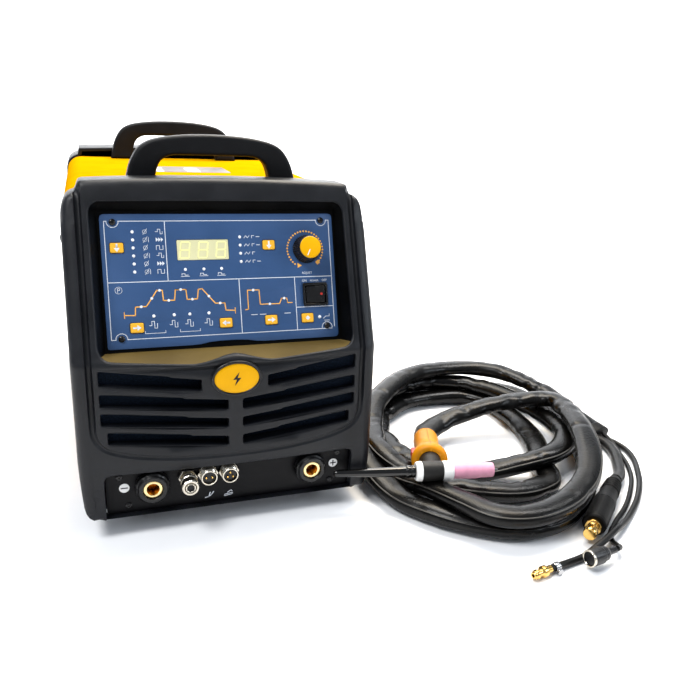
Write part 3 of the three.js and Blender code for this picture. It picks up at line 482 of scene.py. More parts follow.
# The coil's turns are listed here and not worked out by a loop, and the list is not typed by
# hand throughout: report.md says so under its departures.
LEAD_POINTS = [
    (242.5, -191.5, 3.4), (248, -181, 3), (257, -172.5, 3.5), (271, -165, 5), (291, -159, 9),
    (329, -156, 17), (367, -157, 23), (403, -162, 27), (427, -178, 29), (422, -220, 30),
    (403, -271, 29), (381, -313, 24), (356, -344, 18), (325, -366, 14), (291, -379, 11),
    (259, -382, 10), (232, -370, 9), (216, -341, 8), (199, -303, 5), (183, -263, -3),
    (175, -217, -8), (177, -165, -8), (188, -112, -8), (217, -66, -8), (256, -38, -8),
    (310, -22, -8), (365, -20, -8), (413, -38, -8), (443, -72, -8), (450, -128, -8),
    (446, -185, -8), (432, -235, -8), (410, -280, -8), (380, -316, -8), (350, -343, -8),
    (322, -362, -8), (290, -375, -8), (255, -373, -8), (222, -355, -8), (192, -329, -8),
    (170, -296, -8), (158, -257, -2), (156, -212, 6), (163, -165, 9), (180, -117, 9),
    (208, -75, 7), (239, -60, 7), (281, -42, 8), (317, -36, 9), (355, -44, 9), (385, -69, 9),
    (403, -100, 8), (414, -145, 8), (418, -186, 9), (408, -233, 11), (387, -260, 10),
    (359, -274, 8), (329, -274, 3), (304, -268, -4), (273, -263, -8), (243, -256, -8),
    (225, -235, -8), (210, -210, -8), (204, -176, -8), (207, -139, -8), (222, -101, -8),
    (249, -76, -8), (283, -56, -8), (330, -54, -8), (366, -62, -8), (387, -84, -8),
    (393, -116, -8), (392, -160, -8), (384, -204, -8), (368, -242, -8), (354, -273, -8),
    (344, -299, -8), (317, -311, -8), (290, -312, -8), (261, -302, -8), (235, -286, -8),
    (209, -268, -5), (187, -251, 3), (175, -223, 9), (178, -183, 11), (193, -142, 13),
    (213, -107, 18), (252, -70, 25), (290, -47, 27), (337, -36, 27), (379, -42, 27),
    (411, -62, 27), (432, -89, 24), (449, -117, 18), (460, -152, 9), (472, -183, -2),
    (480, -213, -8),
]
POWER_POINTS = [
    (472, -214.5, -12.2), (474, -235, -12.3), (467, -258, -12.3), (453, -281, -12.3),
    (436, -304, -11), (417, -320, -7),
]
HOSE_POINTS = [
    (490, -214.5, -15.4), (494, -228, -15.5), (494, -248, -15.5), (486, -270, -15.5),
    (472, -293, -15.5), (452, -320, -15.5), (424, -349, -15.5), (393, -374, -15.5),
    (369, -391, -12), (355, -399.5, -9.4), (337, -409, -9.4), (318, -417, -11.5),
    (299, -423, -15), (277, -427.2, -15.2), (256.2, -432, -13.6),
]
CONTROL_POINTS = [
    (483, -214.5, -6.5), (486, -232, -13.5), (480, -253, -16), (468, -281, -16),
    (450, -309, -16), (424, -337, -16), (399, -359.5, -16), (372.5, -378.5, -16),
    (351, -396, -16), (344, -408, -16), (341, -418, -13.5), (337, -426, -9.5),
    (329.6, -430.4, -6.7),
]


def sleeve_section(length):
    """A flattened sleeve whose width, thickness and folds change along it."""
    folds = []
    place = 12.0
    while place < length:
        loose = 0.5 + 0.5 * math.sin(place / 95)
        folds.append((place, rng.uniform(0, 2 * math.pi), rng.uniform(0.8, 2.6) * (0.4 + loose),
                      rng.uniform(3.2, 8.5), rng.uniform(-0.12, 0.12)))
        place += rng.uniform(7, 26) * (1.5 - loose)
    waves = [(rng.uniform(0.004, 0.012), rng.uniform(0, 6.3)) for _ in range(3)]
    buckets = {}
    for fold in folds:
        buckets.setdefault(int(fold[0] // 40), []).append(fold)

    def section(s, angle):
        wave = sum(math.sin(2 * math.pi * f * s + p) for f, p in waves) / 3
        width, height = 14.3 * (0.96 - 0.05 * wave), 9.8 * (0.95 + 0.08 * wave)
        c, d = math.cos(angle), math.sin(angle)
        across = width * math.copysign(abs(c) ** 0.9, c)
        rise = height * math.copysign(abs(d) ** 0.9, d)
        shrink = 0.0
        key = int(s // 40)
        for near in (key - 1, key, key + 1):
            for at, side, depth, wide, skew in buckets.get(near, ()):
                off = math.atan2(math.sin(angle - side), math.cos(angle - side))
                along = (s - at - off * 40 * skew) / wide
                shrink += depth * math.exp(-along * along - (off / 0.95) ** 2)
        scale = 1 - min(shrink, 3.6) / 12
        return across * scale, rise * scale
    return section


def cords():
    path = smooth_path(LEAD_POINTS, 2.6)
    length = path_length(path)
    section = sleeve_section(length)
    lead = piece("torch_lead", *tube(path, section, 30), SLEEVE, "torch_set", 80,
                 "lead_sheath")
    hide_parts("torch_lead_coil", "torch_lead_run")
    seam_path = []
    travelled = 0.0
    for i, p in enumerate(path):
        if i:
            travelled += (p - path[i - 1]).length
        a, b = path[max(i - 1, 0)], path[min(i + 1, len(path) - 1)]
        tangent = (b - a).normalized()
        side = tangent.cross(V(0, 0, 1)).normalized()
        up = side.cross(tangent)
        across, rise = section(travelled, math.pi - 0.55)
        seam_path.append(p + side * across + up * rise)
    seam = piece("torch_lead_seam", *tube(seam_path, lambda s, a: (
        1.3 * math.cos(a), 0.6 * math.sin(a)), 8), SEAM, "torch_set", 80, "lead_sheath")
    cuff_at = path[-1]
    heading = (path[-1] - path[-4]).normalized()
    cuff = piece("torch_lead_cuff", *moved(
        lathe([(0, -14), (12, -14), (13.6, -12), (13.8, 0), (13.4, 1), (0, 1)], 40, 0.5),
        axes_matrix(cuff_at, heading) @ Matrix.Diagonal((1.1, 0.72, 1, 1))),
        RUBBER, "torch_set")


def round_cord(name, points, radius, node, material):
    path = smooth_path(points, 2.5)
    data = tube(path, lambda s, a: (radius * math.cos(a), radius * math.sin(a)), 24)
    made = piece(name, *data, material, "torch_set", 80)
    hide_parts(node)
    return made


# ------------------------------------------------------------------ front bezel

SLOTS = [
    ((118, 132.8), (118, 146), (30.5, 134.5), (30.5, 123.5), 58),
    ((118, 113.2), (118, 124.5), (6.7, 113.3), (6.7, 103.3), 47),
    ((118, 95.5), (118, 106.6), (6.7, 95.1), (6.7, 85.9), 44),
    ((113, 77.5), (113, 88.4), (6.7, 77.3), (6.7, 67.8), 41),
]


def base_y(z, x=0.0):
    """The front face: upright and slightly bowed below the chin, leaning back above it."""
    bow = 7.0 * max(0.0, 1 - (x / 122) ** 2)
    low = -275 + (z - 1.5) * 4 / 146.5 - bow * min(1, max(0, (z - 26) / 30))
    high = -213.1 - (287 - z) * (270.5 - 213.1) / (287 - 152)
    high -= bow * max(0, 1 - (z - 152) / 14) if z > 152 else bow
    if z < 146:
        return low
    if z > 158:
        return high
    t = (z - 146) / 12
    return low + (high - low) * t * t * (3 - 2 * t)


def half_width(z):
    if z < 60:
        return 137 + 3 * (1 - ((60 - z) / 60) ** 2)
    return 140


def silhouette():
    """Front-view outline, right half from the bottom centre up, then mirrored."""
    right = [(118.5, 1.5), (125, 1.5), (129.5, 2.4), (133.2, 5), (135.8, 9), (137.2, 15),
             (138.4, 30), (139.4, 45), (140, 60), (140, 110), (140, 160), (140, 220),
             (140, 262), (139.8, 270), (139, 276.5), (137.3, 282), (134.6, 286.2), (131.4, 288.8),
             (128.6, 289.8), (127.3, 290.3), (125.6, 293.5), (124.4, 297), (123.2, 299),
             (121, 299.9), (110, 300.6), (80, 301.8), (40, 302.8), (0, 303)]
    points = []
    for a, b in zip(right, right[1:]):
        steps = max(1, round((Vector(b) - Vector(a)).length / 5))
        points += [tuple(Vector(a).lerp(Vector(b), k / steps)) for k in range(steps)]
    points.append(right[-1])
    left = [(-x, z) for x, z in points[-2::-1]]
    return points + left


def recess_outline():
    right = [(0, 156), (8, 155), (19, 152.3), (28, 150.2), (38, 149.2), (60, 150.6),
             (85, 152.3), (104, 153.6), (110, 154.8), (114, 158), (116.3, 164), (116.5, 174),
             (116.5, 210),
             (116.5, 250), (116.5, 272), (115.8, 277), (113.6, 280.6), (110, 282.6),
             (105, 283.2), (60, 283.6), (0, 283.8)]
    smooth = [tuple(p)[:2] for p in smooth_path([(x, z, 0) for x, z in right], 3.5)]
    return smooth + [(-x, z) for x, z in smooth[-2:0:-1]]


def groove_line():
    right = [(0, 58), (25, 58.4), (49, 59.5), (71, 61.6), (92, 64.8), (111, 70.2), (120, 76.5),
             (124.6, 86), (125.2, 100), (125.2, 130), (125.2, 180), (125.2, 240), (125.2, 291)]
    smooth = [tuple(p)[:2] for p in smooth_path([(x, z, 0) for x, z in right], 4)]
    return [(-x, z) for x, z in smooth[::-1]] + smooth[1:]


def slot_outlines():
    loops = []
    for outer_low, outer_high, inner_high, inner_low, step_x in SLOTS:
        rise = (outer_high[1] - inner_high[1]) / (outer_high[0] - inner_high[0])
        at = inner_high[1] + rise * (step_x - inner_high[0])
        for side in (-1, 1):
            corners = [inner_low, outer_low, (outer_high[0], outer_high[1] + 0.3),
                       (step_x + 1.5, at + 0.9), (step_x - 1.5, at - 0.5),
                       (inner_high[0], inner_high[1] - 0.4)]
            corners = [(side * x, z) for x, z in corners]
            if side < 0:
                corners.reverse()
            loops.append(corners)
    return loops


def grown(loop, distance):
    """A counter-clockwise closed loop moved outwards by the distance."""
    count = len(loop)
    out = []
    for i in range(count):
        a, b, c = Vector(loop[i - 1]), Vector(loop[i]), Vector(loop[(i + 1) % count])
        u, v = (b - a).normalized(), (c - b).normalized()
        n1, n2 = Vector((u.y, -u.x)), Vector((v.y, -v.x))
        n = n1 + n2
        n = n / max(n.dot(n1), 0.35) if n.length > 1e-6 else n1
        out.append(tuple(b + n * distance))
    return out


def inside(point, loop):
    x, y = point
    hit = False
    for i in range(len(loop)):
        (x1, y1), (x2, y2) = loop[i - 1], loop[i]
        if (y1 > y) != (y2 > y) and x < x1 + (y - y1) * (x2 - x1) / (y2 - y1):
            hit = not hit
    return hit


def distance_to(point, loop, closed=True):
    px, py = point
    best = 1e9
    for i in range(0 if closed else 1, len(loop)):
        (x1, y1), (x2, y2) = loop[i - 1], loop[i]
        dx, dy = x2 - x1, y2 - y1
        t = ((px - x1) * dx + (py - y1) * dy) / max(dx * dx + dy * dy, 1e-12)
        t = min(1, max(0, t))
        best = min(best, math.hypot(px - x1 - t * dx, py - y1 - t * dy))
    return best


def roll(distance, radius, drop=None):
    """How far a rounded edge has fallen back at this distance from it."""
    if distance >= radius:
        return 0
    t = (radius - max(distance, 0)) / radius
    return (drop or radius) * (1 - math.sqrt(max(0, 1 - t * t)))


def divided(loop, spacing):
    """A closed loop with more points along its straight sides."""
    out = []
    for a, b in zip(loop, loop[1:] + loop[:1]):
        a, b = Vector(a), Vector(b)
        steps = max(1, round((b - a).length / spacing))
        out += [tuple(a.lerp(b, k / steps)) for k in range(steps)]
    return out


def notch_outline():
    """The opening for the connection panel, at the bottom of the front."""
    return divided([(-118.5, 1.5), (118.5, 1.5), (118.5, 40), (117, 44.2), (112.5, 46), (60, 46),
                    (0, 46), (-60, 46), (-112.5, 46), (-117, 44.2), (-118.5, 40)], 8)


def front_relief(outer, recess, groove, slots, notch):
    """A function of (x, z): how far the front stands out of its plain surface, here negative."""
    top_edge = [p for p in outer if p[1] > 262]

    def height(x, z):
        h = 0.0
        edge = half_width(z) - abs(x)
        h -= roll(edge, 11, 9)
        if z < 26 and edge < 14:
            h -= roll(z - 1.5, 6, 3)
        if z > 262:
            h -= roll(distance_to((x, z), top_edge, False), 4.5, 4.5)
        d = distance_to((x, z), groove, False)
        wide = 3.0 if z > 96 else (2.2 + 0.8 * (z - 54) / 42 if z > 54 else 2.2)
        deep = 4.2 if z > 110 else (1.3 + 2.9 * max(0, (z - 70)) / 40)
        if d < wide:
            h -= deep * (1 - (d / wide) ** 4) if z > 96 else deep * (1 - (d / wide) ** 2)
        if z < 60 and d >= 1.5 and edge > 11:
            h -= min(1.2, (60 - z) * 0.05)
        d = distance_to((x, z), recess)
        h -= roll(d, 2.2)
        if 60 < z < 149:
            for loop in slots:
                if abs(x - loop[0][0]) < 130:
                    h -= roll(distance_to((x, z), loop), 1.3)
        if z < 50:
            h -= roll(distance_to((x, z), notch), 1.3)
        return h
    return height


def front_net(outer, recess, groove, slots, notch):
    """The points and edges of the front that its triangles are made from."""
    verts, edges, found = [], [], {}

    def add_line(points, closed):
        ids = []
        for x, z in points:
            key = (round(x, 3), round(z, 3))
            if key not in found:
                found[key] = len(verts)
                verts.append(Vector(key))
            ids.append(found[key])
        for a, b in zip(ids, ids[1:] + (ids[:1] if closed else [])):
            if a != b:
                edges.append((a, b))

    add_line(outer, False)
    add_line(notch, True)
    for distance in (0.5, 1.3):
        add_line(grown(notch, distance), True)
    add_line(recess, True)
    for distance in (0.25, 0.8, 1.5, 2.3):
        add_line(grown(recess, distance), True)
    for loop in slots:
        add_line(loop, True)
        for distance in (0.15, 0.5, 0.9, 1.4):
            add_line(grown(loop, distance), True)
    for distance in (-3.05, -2.7, -2.1, -1.3, 0, 1.3, 2.1, 2.7, 3.05):
        line = []
        for i, p in enumerate(groove):
            a, b = Vector(groove[max(i - 1, 0)]), Vector(groove[min(i + 1, len(groove) - 1)])
            t = (b - a).normalized()
            line.append(tuple(Vector(p) + Vector((t.y, -t.x)) * distance))
        add_line(line, False)
    for inset in (0.12, 0.5, 1.2, 2.2, 3.6, 5.4, 7.6, 10, 11.2):
        side = [(half_width(z) - inset, z) for z in range(16, 272, 8)]
        add_line(side, False)
        add_line([(-x, z) for x, z in side], False)
    for drop in (0.15, 0.6, 1.4, 2.6, 4.6):
        line = [(x, z) for x, z in outer if z > 289.9]
        add_line([(x * (1 - drop / 300), z - drop) for x, z in line if abs(x) < 123.5], False)
        for s in (-1, 1):
            add_line([(s * (140 - drop), 268), (s * (137.6 - drop), 279 - drop * 0.3),
                      (s * (134 - drop * 0.7), 285.6 - drop * 0.7), (s * (129.5 - drop * 0.2),
                                                                  289.3 - drop)], False)
    for z in range(4, 300, 6):
        for x in range(-136, 137, 8):
            if abs(x) < half_width(z) - 1:
                key = (x + 0.137, z + 0.211)
                verts.append(Vector(key))
    for z in (144, 146, 148, 150, 152, 154, 156, 158):
        add_line([(-139.5, z), (139.5, z)], False)
    return verts, edges


def wall(loop, targets, closed=True):
    """A strip of faces: a row of points for each target, joined along the loop."""
    rows = [[target(x, z) for x, z in loop] for target in targets]
    count = len(loop)
    data = [p for row in rows for p in row]
    faces = []
    for j in range(len(rows) - 1):
        for k in range(count if closed else count - 1):
            n = (k + 1) % count
            faces.append((j * count + k, j * count + n, (j + 1) * count + n, (j + 1) * count + k))
    return data, faces


def front_bezel():
    outer = silhouette()
    recess = recess_outline()
    groove = groove_line()
    slots = [rounded(s, 1.6, True, 3) for s in slot_outlines()]
    notch = notch_outline()
    height = front_relief(outer, recess, groove, slots, notch)
    verts, edges = front_net(outer, recess, groove, slots, notch)
    flat, _, triangles, *_ = delaunay_2d_cdt(verts, edges, [], 0, 0.01)
    points = [(v.x, base_y(v.y, v.x) - height(v.x, v.y), v.y) for v in flat]
    kept = []
    for tri in triangles:
        c = sum((flat[i] for i in tri), Vector((0, 0))) / len(tri)
        spot = (c.x, c.y)
        if not inside(spot, outer) or inside(spot, recess) or inside(spot, notch):
            continue
        if any(inside(spot, loop) for loop in slots):
            continue
        kept.append(tuple(tri))

    def front(x, z):
        return (x, base_y(z, x) - height(x, z), z)

    def pushed(depth):
        def target(x, z):
            px, py, pz = front(x, z)
            return (px, py + depth, pz)
        return target

    parts = [(points, kept)]
    sides = [lambda x, z: front(x, z), lambda x, z: (x, (front(x, z)[1] - 176.3) / 2, z),
             lambda x, z: (x, -177.3, z), lambda x, z: (x * 0.996, -176.3, z - (z > 250) * 0.8),
             lambda x, z: (x * 0.975, -176.3, z - (z > 250) * 3.4)]
    parts.append(wall(outer, sides, False))
    parts.append(wall(notch, [front, pushed(3), pushed(12.5)]))
    for loop in slots:
        parts.append(wall(loop, [front, pushed(2.5), lambda x, z: (x, -265.2, z)]))
    body = piece("front_bezel_shell", *joined(parts), BEZEL, "machine", 50, "black_plastic")
    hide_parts("front_bezel")
    panel_pocket(recess, front)


def panel_pocket(recess, front):
    """The pocket behind the front that holds the control panel."""
    def foot(x, z):
        """Where the pocket's wall meets its floor, round the edge of the control panel."""
        local = FACE_M.inverted() @ Vector(front(x, z))
        return FACE_M @ Vector((max(-110.2, min(110.2, local.x * 0.975)),
                                max(-64.5, min(62.5, local.y)), SURFACE - 1.5))

    def between(t):
        return lambda x, z: tuple(Vector(front(x, z)).lerp(foot(x, z), t))
    walls = wall(recess, [between(t) for t in (0, 0.03, 0.12, 0.4, 0.75, 1)])
    count = len(recess)
    ledge = [f for f in walls[1] if all(recess[i % count][1] < 160 for i in f)]
    upright = [f for f in walls[1] if not all(recess[i % count][1] < 160 for i in f)]
    # The ledge's brown colour is a painted highlight on black plastic.
    piece("panel_recess_ledge", walls[0], ledge, LEDGE_PAINTED_HIGHLIGHT, "machine", 50, "black_plastic")
    corners = [(-111, -65), (111, -65), (111, 63), (-111, 63)]
    floor = ([tuple(FACE_M @ Vector((x, y, SURFACE - 1.6))) for x, y in corners], [(0, 1, 2, 3)])
    # The recess walls and the pocket floor carry painted shade.
    piece("panel_recess", *joined([(walls[0], upright), floor]), RECESS_PAINTED_SHADE, "machine", 50,
          "black_plastic")


def foam_backing():
    """The visible face of the air filter, rough all over."""
    verts, faces = [], []
    count_x, count_z = 120, 44
    for j in range(count_z + 1):
        for i in range(count_x + 1):
            x, z = -119.5 + 239 * i / count_x, 62.3 + 84.4 * j / count_z
            verts.append((x, -265.6 + rng.uniform(-0.1, 0.35), z))
    for j in range(count_z):
        for i in range(count_x):
            a = j * (count_x + 1) + i
            faces.append((a, a + 1, a + count_x + 2, a + count_x + 1))
    piece("front_foam_face", verts, faces, FOAM, "machine", 180, "filter_foam")


# ------------------------------------------------------------------ control panel

FACE_ORIGIN = V(0, -236.69, 218.6)
FACE_UP = V(0, 0.325568, 0.945519)
FACE_OUT = V(0, -0.945519, 0.325568)
FACE_M = Matrix(((1, FACE_UP.x, FACE_OUT.x, FACE_ORIGIN.x), (0, FACE_UP.y, FACE_OUT.y,
                FACE_ORIGIN.y), (0, FACE_UP.z, FACE_OUT.z, FACE_ORIGIN.z), (0, 0, 0, 1)))
SURFACE = -9.6
BUTTONS = {
    "button_mode": (-94.7, 29, -90), "button_display": (43.4, 29.5, -90),
    "button_next": (-81.8, -43.1, 0), "button_previous": (-1.8, -42.5, 180),
    "button_waveform": (41.5, -41.9, 0), "button_remote": (77.4, -41.8, None),
}
DISPLAY_AT = (-18.7, 26)
KNOB_AT = (80, 24.5)
SWITCH_AT = (86.3, -19.2)
SCALE_AT, SCALE_RADIUS = (79, 24.5), 17.6


def on_face(data, x=0.0, y=0.0, z=0.0):
    return moved(data, FACE_M @ Matrix.Translation((x, y, SURFACE + z)))


def stroke(points, width, z=0.12, closed=False):
    """A flat printed line of this width."""
    parts = []
    pts = [Vector(p) for p in points]
    pairs = list(zip(pts, pts[1:] + (pts[:1] if closed else [])))
    for a, b in pairs:
        if (b - a).length < 1e-6:
            continue
        t = (b - a).normalized()
        n = Vector((-t.y, t.x)) * width / 2
        e = t * width / 2 * 0.9
        quad = [a - e + n, a - e - n, b + e - n, b + e + n]
        parts.append(([(p.x, p.y, z) for p in quad], [(0, 1, 2, 3)]))
    return joined(parts)


def disc(x, y, radius, z=0.14, count=20):
    return [(px, py, z) for px, py in circle(x, y, radius, count)], [tuple(range(count))]


def hoop(x, y, radius, width, z=0.14, count=28, start=0.0, end=360.0):
    pts = []
    steps = max(4, int(count * (end - start) / 360))
    for k in range(steps + 1):
        a = math.radians(start + (end - start) * k / steps)
        pts.append((x + radius * math.cos(a), y + radius * math.sin(a)))
    return stroke(pts, width, z)


def arrow(x, y, angle, size=1.0, z=0.14):
    """A short printed arrow pointing along +x before it is turned."""
    shape = [(-3.4, -0.8), (0.2, -0.8), (0.2, -2.4), (3.6, 0), (0.2, 2.4), (0.2, 0.8), (-3.4, 0.8)]
    a = math.radians(angle)
    pts = [(x + size * (px * math.cos(a) - py * math.sin(a)),
            y + size * (px * math.sin(a) + py * math.cos(a)), z) for px, py in shape]
    return pts, [(0, 1, 5, 6), (2, 3, 4)] + [(1, 2, 4, 5)]


def words(text, x, y, size, z=0.14):
    curve = bpy.data.curves.new("words", "FONT")
    curve.body = text
    curve.size = size * MM
    curve.align_x = "CENTER"
    thing = bpy.data.objects.new("words", curve)
    bpy.context.scene.collection.objects.link(thing)
    ready = thing.evaluated_get(bpy.context.evaluated_depsgraph_get())
    mesh = bpy.data.meshes.new_from_object(ready)
    data = ([(v.co.x / MM + x, v.co.y / MM + y, z) for v in mesh.vertices],
            [tuple(p.vertices) for p in mesh.polygons])
    bpy.data.objects.remove(thing)
    bpy.data.meshes.remove(mesh)
    return data


def seven_segment(x, y, height, width):
    """One slanted digit with all seven segments, a to g."""
    h, w = height / 2, width / 2
    parts = []
    for (ax, ay), (bx, by) in (((-w, h), (w, h)), ((w, h), (w, 0)), ((w, 0), (w, -h)),
                               ((-w, -h), (w, -h)), ((-w, 0), (-w, -h)), ((-w, h), (-w, 0)),
                               ((-w, 0), (w, 0))):
        a, b = Vector((ax, ay)), Vector((bx, by))
        t = (b - a).normalized() * 0.9
        a, b = a + t, b - t
        slant = 0.1
        parts.append(stroke([(x + a.x + slant * a.y, y + a.y), (x + b.x + slant * b.y, y + b.y)],
                            1.25, 0.0))
    return joined(parts)


def screw_head(radius):
    """A pan head standing out along local +Z."""
    return lathe([(0, 1.9), (radius * 0.55, 1.75), (radius * 0.9, 1.1), (radius, 0.2),
                  (radius, -0.6), (0, -0.6)], 32, 0.3)


def cross_recess(radius):
    parts = []
    for angle in (0.4, 0.4 + math.pi / 2):
        c, s = math.cos(angle), math.sin(angle)
        w, l = radius * 0.13, radius * 0.55
        quad = [(-l, -w), (l, -w), (l, w), (-l, w)]
        parts.append(([(px * c - py * s, px * s + py * c, 1.93) for px, py in quad],
                      [(0, 1, 2, 3)]))
    return joined(parts)


def add_screw(name, matrix, radius, body, finish_with):
    piece(name, *moved(screw_head(radius), matrix), finish_with, body)
    piece(name + "_cross", *moved(cross_recess(radius), matrix), BLACK_INK, body)


def panel_outline():
    half, top, bottom = 108, 59.2, -61.5
    points = [(-103, bottom), (-34, bottom), (-26, bottom + 0.5), (-18, bottom + 1.9),
              (-8, bottom + 2.6), (8, bottom + 2.6), (18, bottom + 1.9), (26, bottom + 0.5),
              (34, bottom), (half, bottom), (half, top), (-half, top), (-half, bottom)]
    return rounded(points, 4.5, True, 5)


def frame_prints(white):
    """The lines that frame the panel and its fields, bending round the screws."""
    for line in ([(-92.1, 52.7), (91.4, 52.7)], [(101.5, 52.7), (104.3, 52.7), (104.3, -51)],
                 [(101.8, -53), (91.6, -53)], [(91.6, -53), (-90.4, -53)],
                 [(-100.6, -53), (-104.3, -53), (-104.3, 52.7), (-102.2, 52.7)]):
        white.append(stroke(line, 0.62))
    for line in ([(-52, 52.5), (-52, -1.9)], [(-104.3, -1.9), (104.3, -1.9)],
                 [(12.8, -2), (12.8, -52.9)], [(66.7, -2), (66.7, -52.9)],
                 [(66.7, -31.1), (104.2, -31.1)]):
        white.append(stroke(line, 0.62))
    for x, y, a in ((-97.1, 52.3, 180), (96.4, 52.5, 180), (-95.5, -52.6, 0), (96.7, -51.6, 0)):
        white.append(hoop(x, y, 5.1, 0.62, start=a - 4, end=a + 184))


def mode_prints(white):
    """A torch mark and a current mark beside each status light of the mode column."""
    for row in range(6):
        y = 43.1 - 7.2 * row
        white.append(hoop(-70, y, 1.7, 0.4))
        white.append(stroke([(-71.4, y - 2.4), (-68, y + 2.6)], 0.45))
        if row % 2:
            white.append(stroke([(-66.9, y - 2), (-66.9, y + 2)], 0.4))
        kind = row % 3
        if kind == 0:
            white.append(stroke([(-60.5, y), (-58.6, y), (-58.6, y + 2.2), (-56.4, y + 2.2),
                                 (-56.4, y - 2), (-54.4, y - 2), (-54.4, y)], 0.45))
        elif kind == 1:
            for k in range(3):
                white.append(([(-60.5 + 2.2 * k, y - 2, 0.14), (-60.5 + 2.2 * k, y + 2, 0.14),
                               (-58.4 + 2.2 * k, y, 0.14)], [(0, 1, 2)]))
        else:
            white.append(stroke([(-60.5, y - 1.8), (-60.5, y + 1.8), (-57.6, y + 1.8),
                                 (-57.6, y - 1.8), (-54.6, y - 1.8), (-54.6, y + 1.8)], 0.45))


def display_prints(white):
    """Marks under the display and in the column on its right."""
    for x in (-35.9, -19.1, -2.7):
        white.append(stroke([(x - 4.2, 1.9), (x + 3.4, 1.9)], 0.4))
        white.append(stroke([(x - 3.4, 3.0), (x - 3.4, 4.4), (x - 0.6, 4.4), (x - 0.6, 3.0),
                             (x + 2.2, 3.0)], 0.5))
    for k in range(4):
        y = 37.4 - 7.7 * k
        white.append(stroke([(20, y - 1), (21.6, y + 1.1), (23.4, y - 1), (25, y + 1.1)], 0.45))
        white.append(stroke([(27.4, y - 1.1), (27.4, y + 1.1), (29.6, y + 1.1)], 0.45))
        if k != 2:
            white.append(stroke([(31.6, y), (34.6, y)], 0.5))


def lower_prints(white):
    """The marks of the lower fields, apart from the two curves."""
    white.append(hoop(-95.6, -8.9, 3.0, 0.42))
    white.append(stroke([(-96.4, -10.8), (-96.4, -7.2), (-94.6, -7.2), (-94.6, -8.9),
                         (-96.4, -8.9)], 0.42))
    for x in (-66.6, -48.6, -34.6, -17.1):
        white.append(stroke([(x - 4.3, -41.6), (x - 2.2, -41.6), (x - 2.2, -37.8),
                             (x + 0.2, -37.8), (x + 0.2, -44), (x + 2.6, -44), (x + 2.6, -40)],
                            0.5))
    for a, b in ((-75, -57), (-44, -26)):
        white.append(stroke([(a, -46.5), (a, -48.6), (b, -48.6), (b, -46.5)], 0.4))
    for x in (22.5, 31, 55):
        white.append(stroke([(x, -36.2), (x + 5.6, -36.2)], 0.55))
    white.append(hoop(89.7, -41.3, 1.5, 0.3))
    white.append(stroke([(93.5, -43), (96, -41), (99.5, -41), (99.5, -39)], 0.5))
    white.append(stroke([(94.5, -45), (99.5, -45)], 0.5))


def curve_prints(white, orange):
    """The welding-cycle curve and the pulse curve, with a dot at each step."""
    line = [(-92, -31.4), (-82.6, -31.8), (-82.1, -24.3), (-72.5, -24.1), (-62.7, -10.1),
            (-57.8, -10), (-57.3, -19.4), (-47.4, -19.5), (-46.2, -10), (-36.7, -10.1),
            (-36.1, -19.3), (-26.8, -19), (-25.5, -10.4), (-22.1, -9.9), (-10.6, -23.8),
            (-1.9, -23.8), (-1.2, -30.7), (7.5, -31.2)]
    orange.append(stroke(line, 0.95))
    line = [(17.4, -31.2), (20.1, -30.9), (20.1, -12.9), (31.3, -13), (31.6, -26.6),
            (50.5, -26.8), (52.6, -21.8), (57.8, -21.8), (58.2, -26.2), (62.8, -26.3)]
    orange.append(stroke(line, 0.85))
    for x in (-92, 7.5):
        orange.append(stroke([(x, -34), (x, -28.6)], 0.6))
    for x, y in ((-77, -24.2), (-67.4, -17), (-52.6, -19.4), (-41.4, -10), (-16.2, -17),
                 (-6.2, -23.8), (-60.2, -10), (25.6, -13), (41, -26.7), (55.2, -21.8),
                 (-31.4, -19.2)):
        white.append(disc(x, y, 1.25, 0.2))


def knob_prints(white, orange):
    """The dotted scale round the knob, its end marks and the words below."""
    for k in range(31):
        a = math.radians(232 - 280 * k / 30)
        x = SCALE_AT[0] + SCALE_RADIUS * math.cos(a)
        y = SCALE_AT[1] + SCALE_RADIUS * math.sin(a)
        orange.append(disc(x, y, 0.92, 0.14, 10))
    orange.append(([(70.6, 11.5, 0.14), (70.6, 6.8, 0.14), (75, 9.2, 0.14)], [(0, 1, 2)]))
    orange.append(([(88.6, 12.2, 0.14), (91.4, 14.4, 0.14), (93.4, 11.4, 0.14),
                    (90.6, 9.4, 0.14)], [(0, 1, 2, 3)]))
    white.append(words("ADJUST", 79.6, 0.9, 3.0))
    white.append(words("ON", 76.4, -6.7, 3.0))
    white.append(words("POWER", 86.4, -6.7, 2.5))
    white.append(words("OFF", 96.6, -6.7, 3.0))


def panel_prints():
    white, orange = [], []
    frame_prints(white)
    mode_prints(white)
    display_prints(white)
    lower_prints(white)
    curve_prints(white, orange)
    knob_prints(white, orange)
    piece("panel_print_white", *on_face(joined(white)), WHITE_INK, "machine", 180)
    piece("panel_print_orange", *on_face(joined(orange)), ORANGE_INK, "machine", 180)


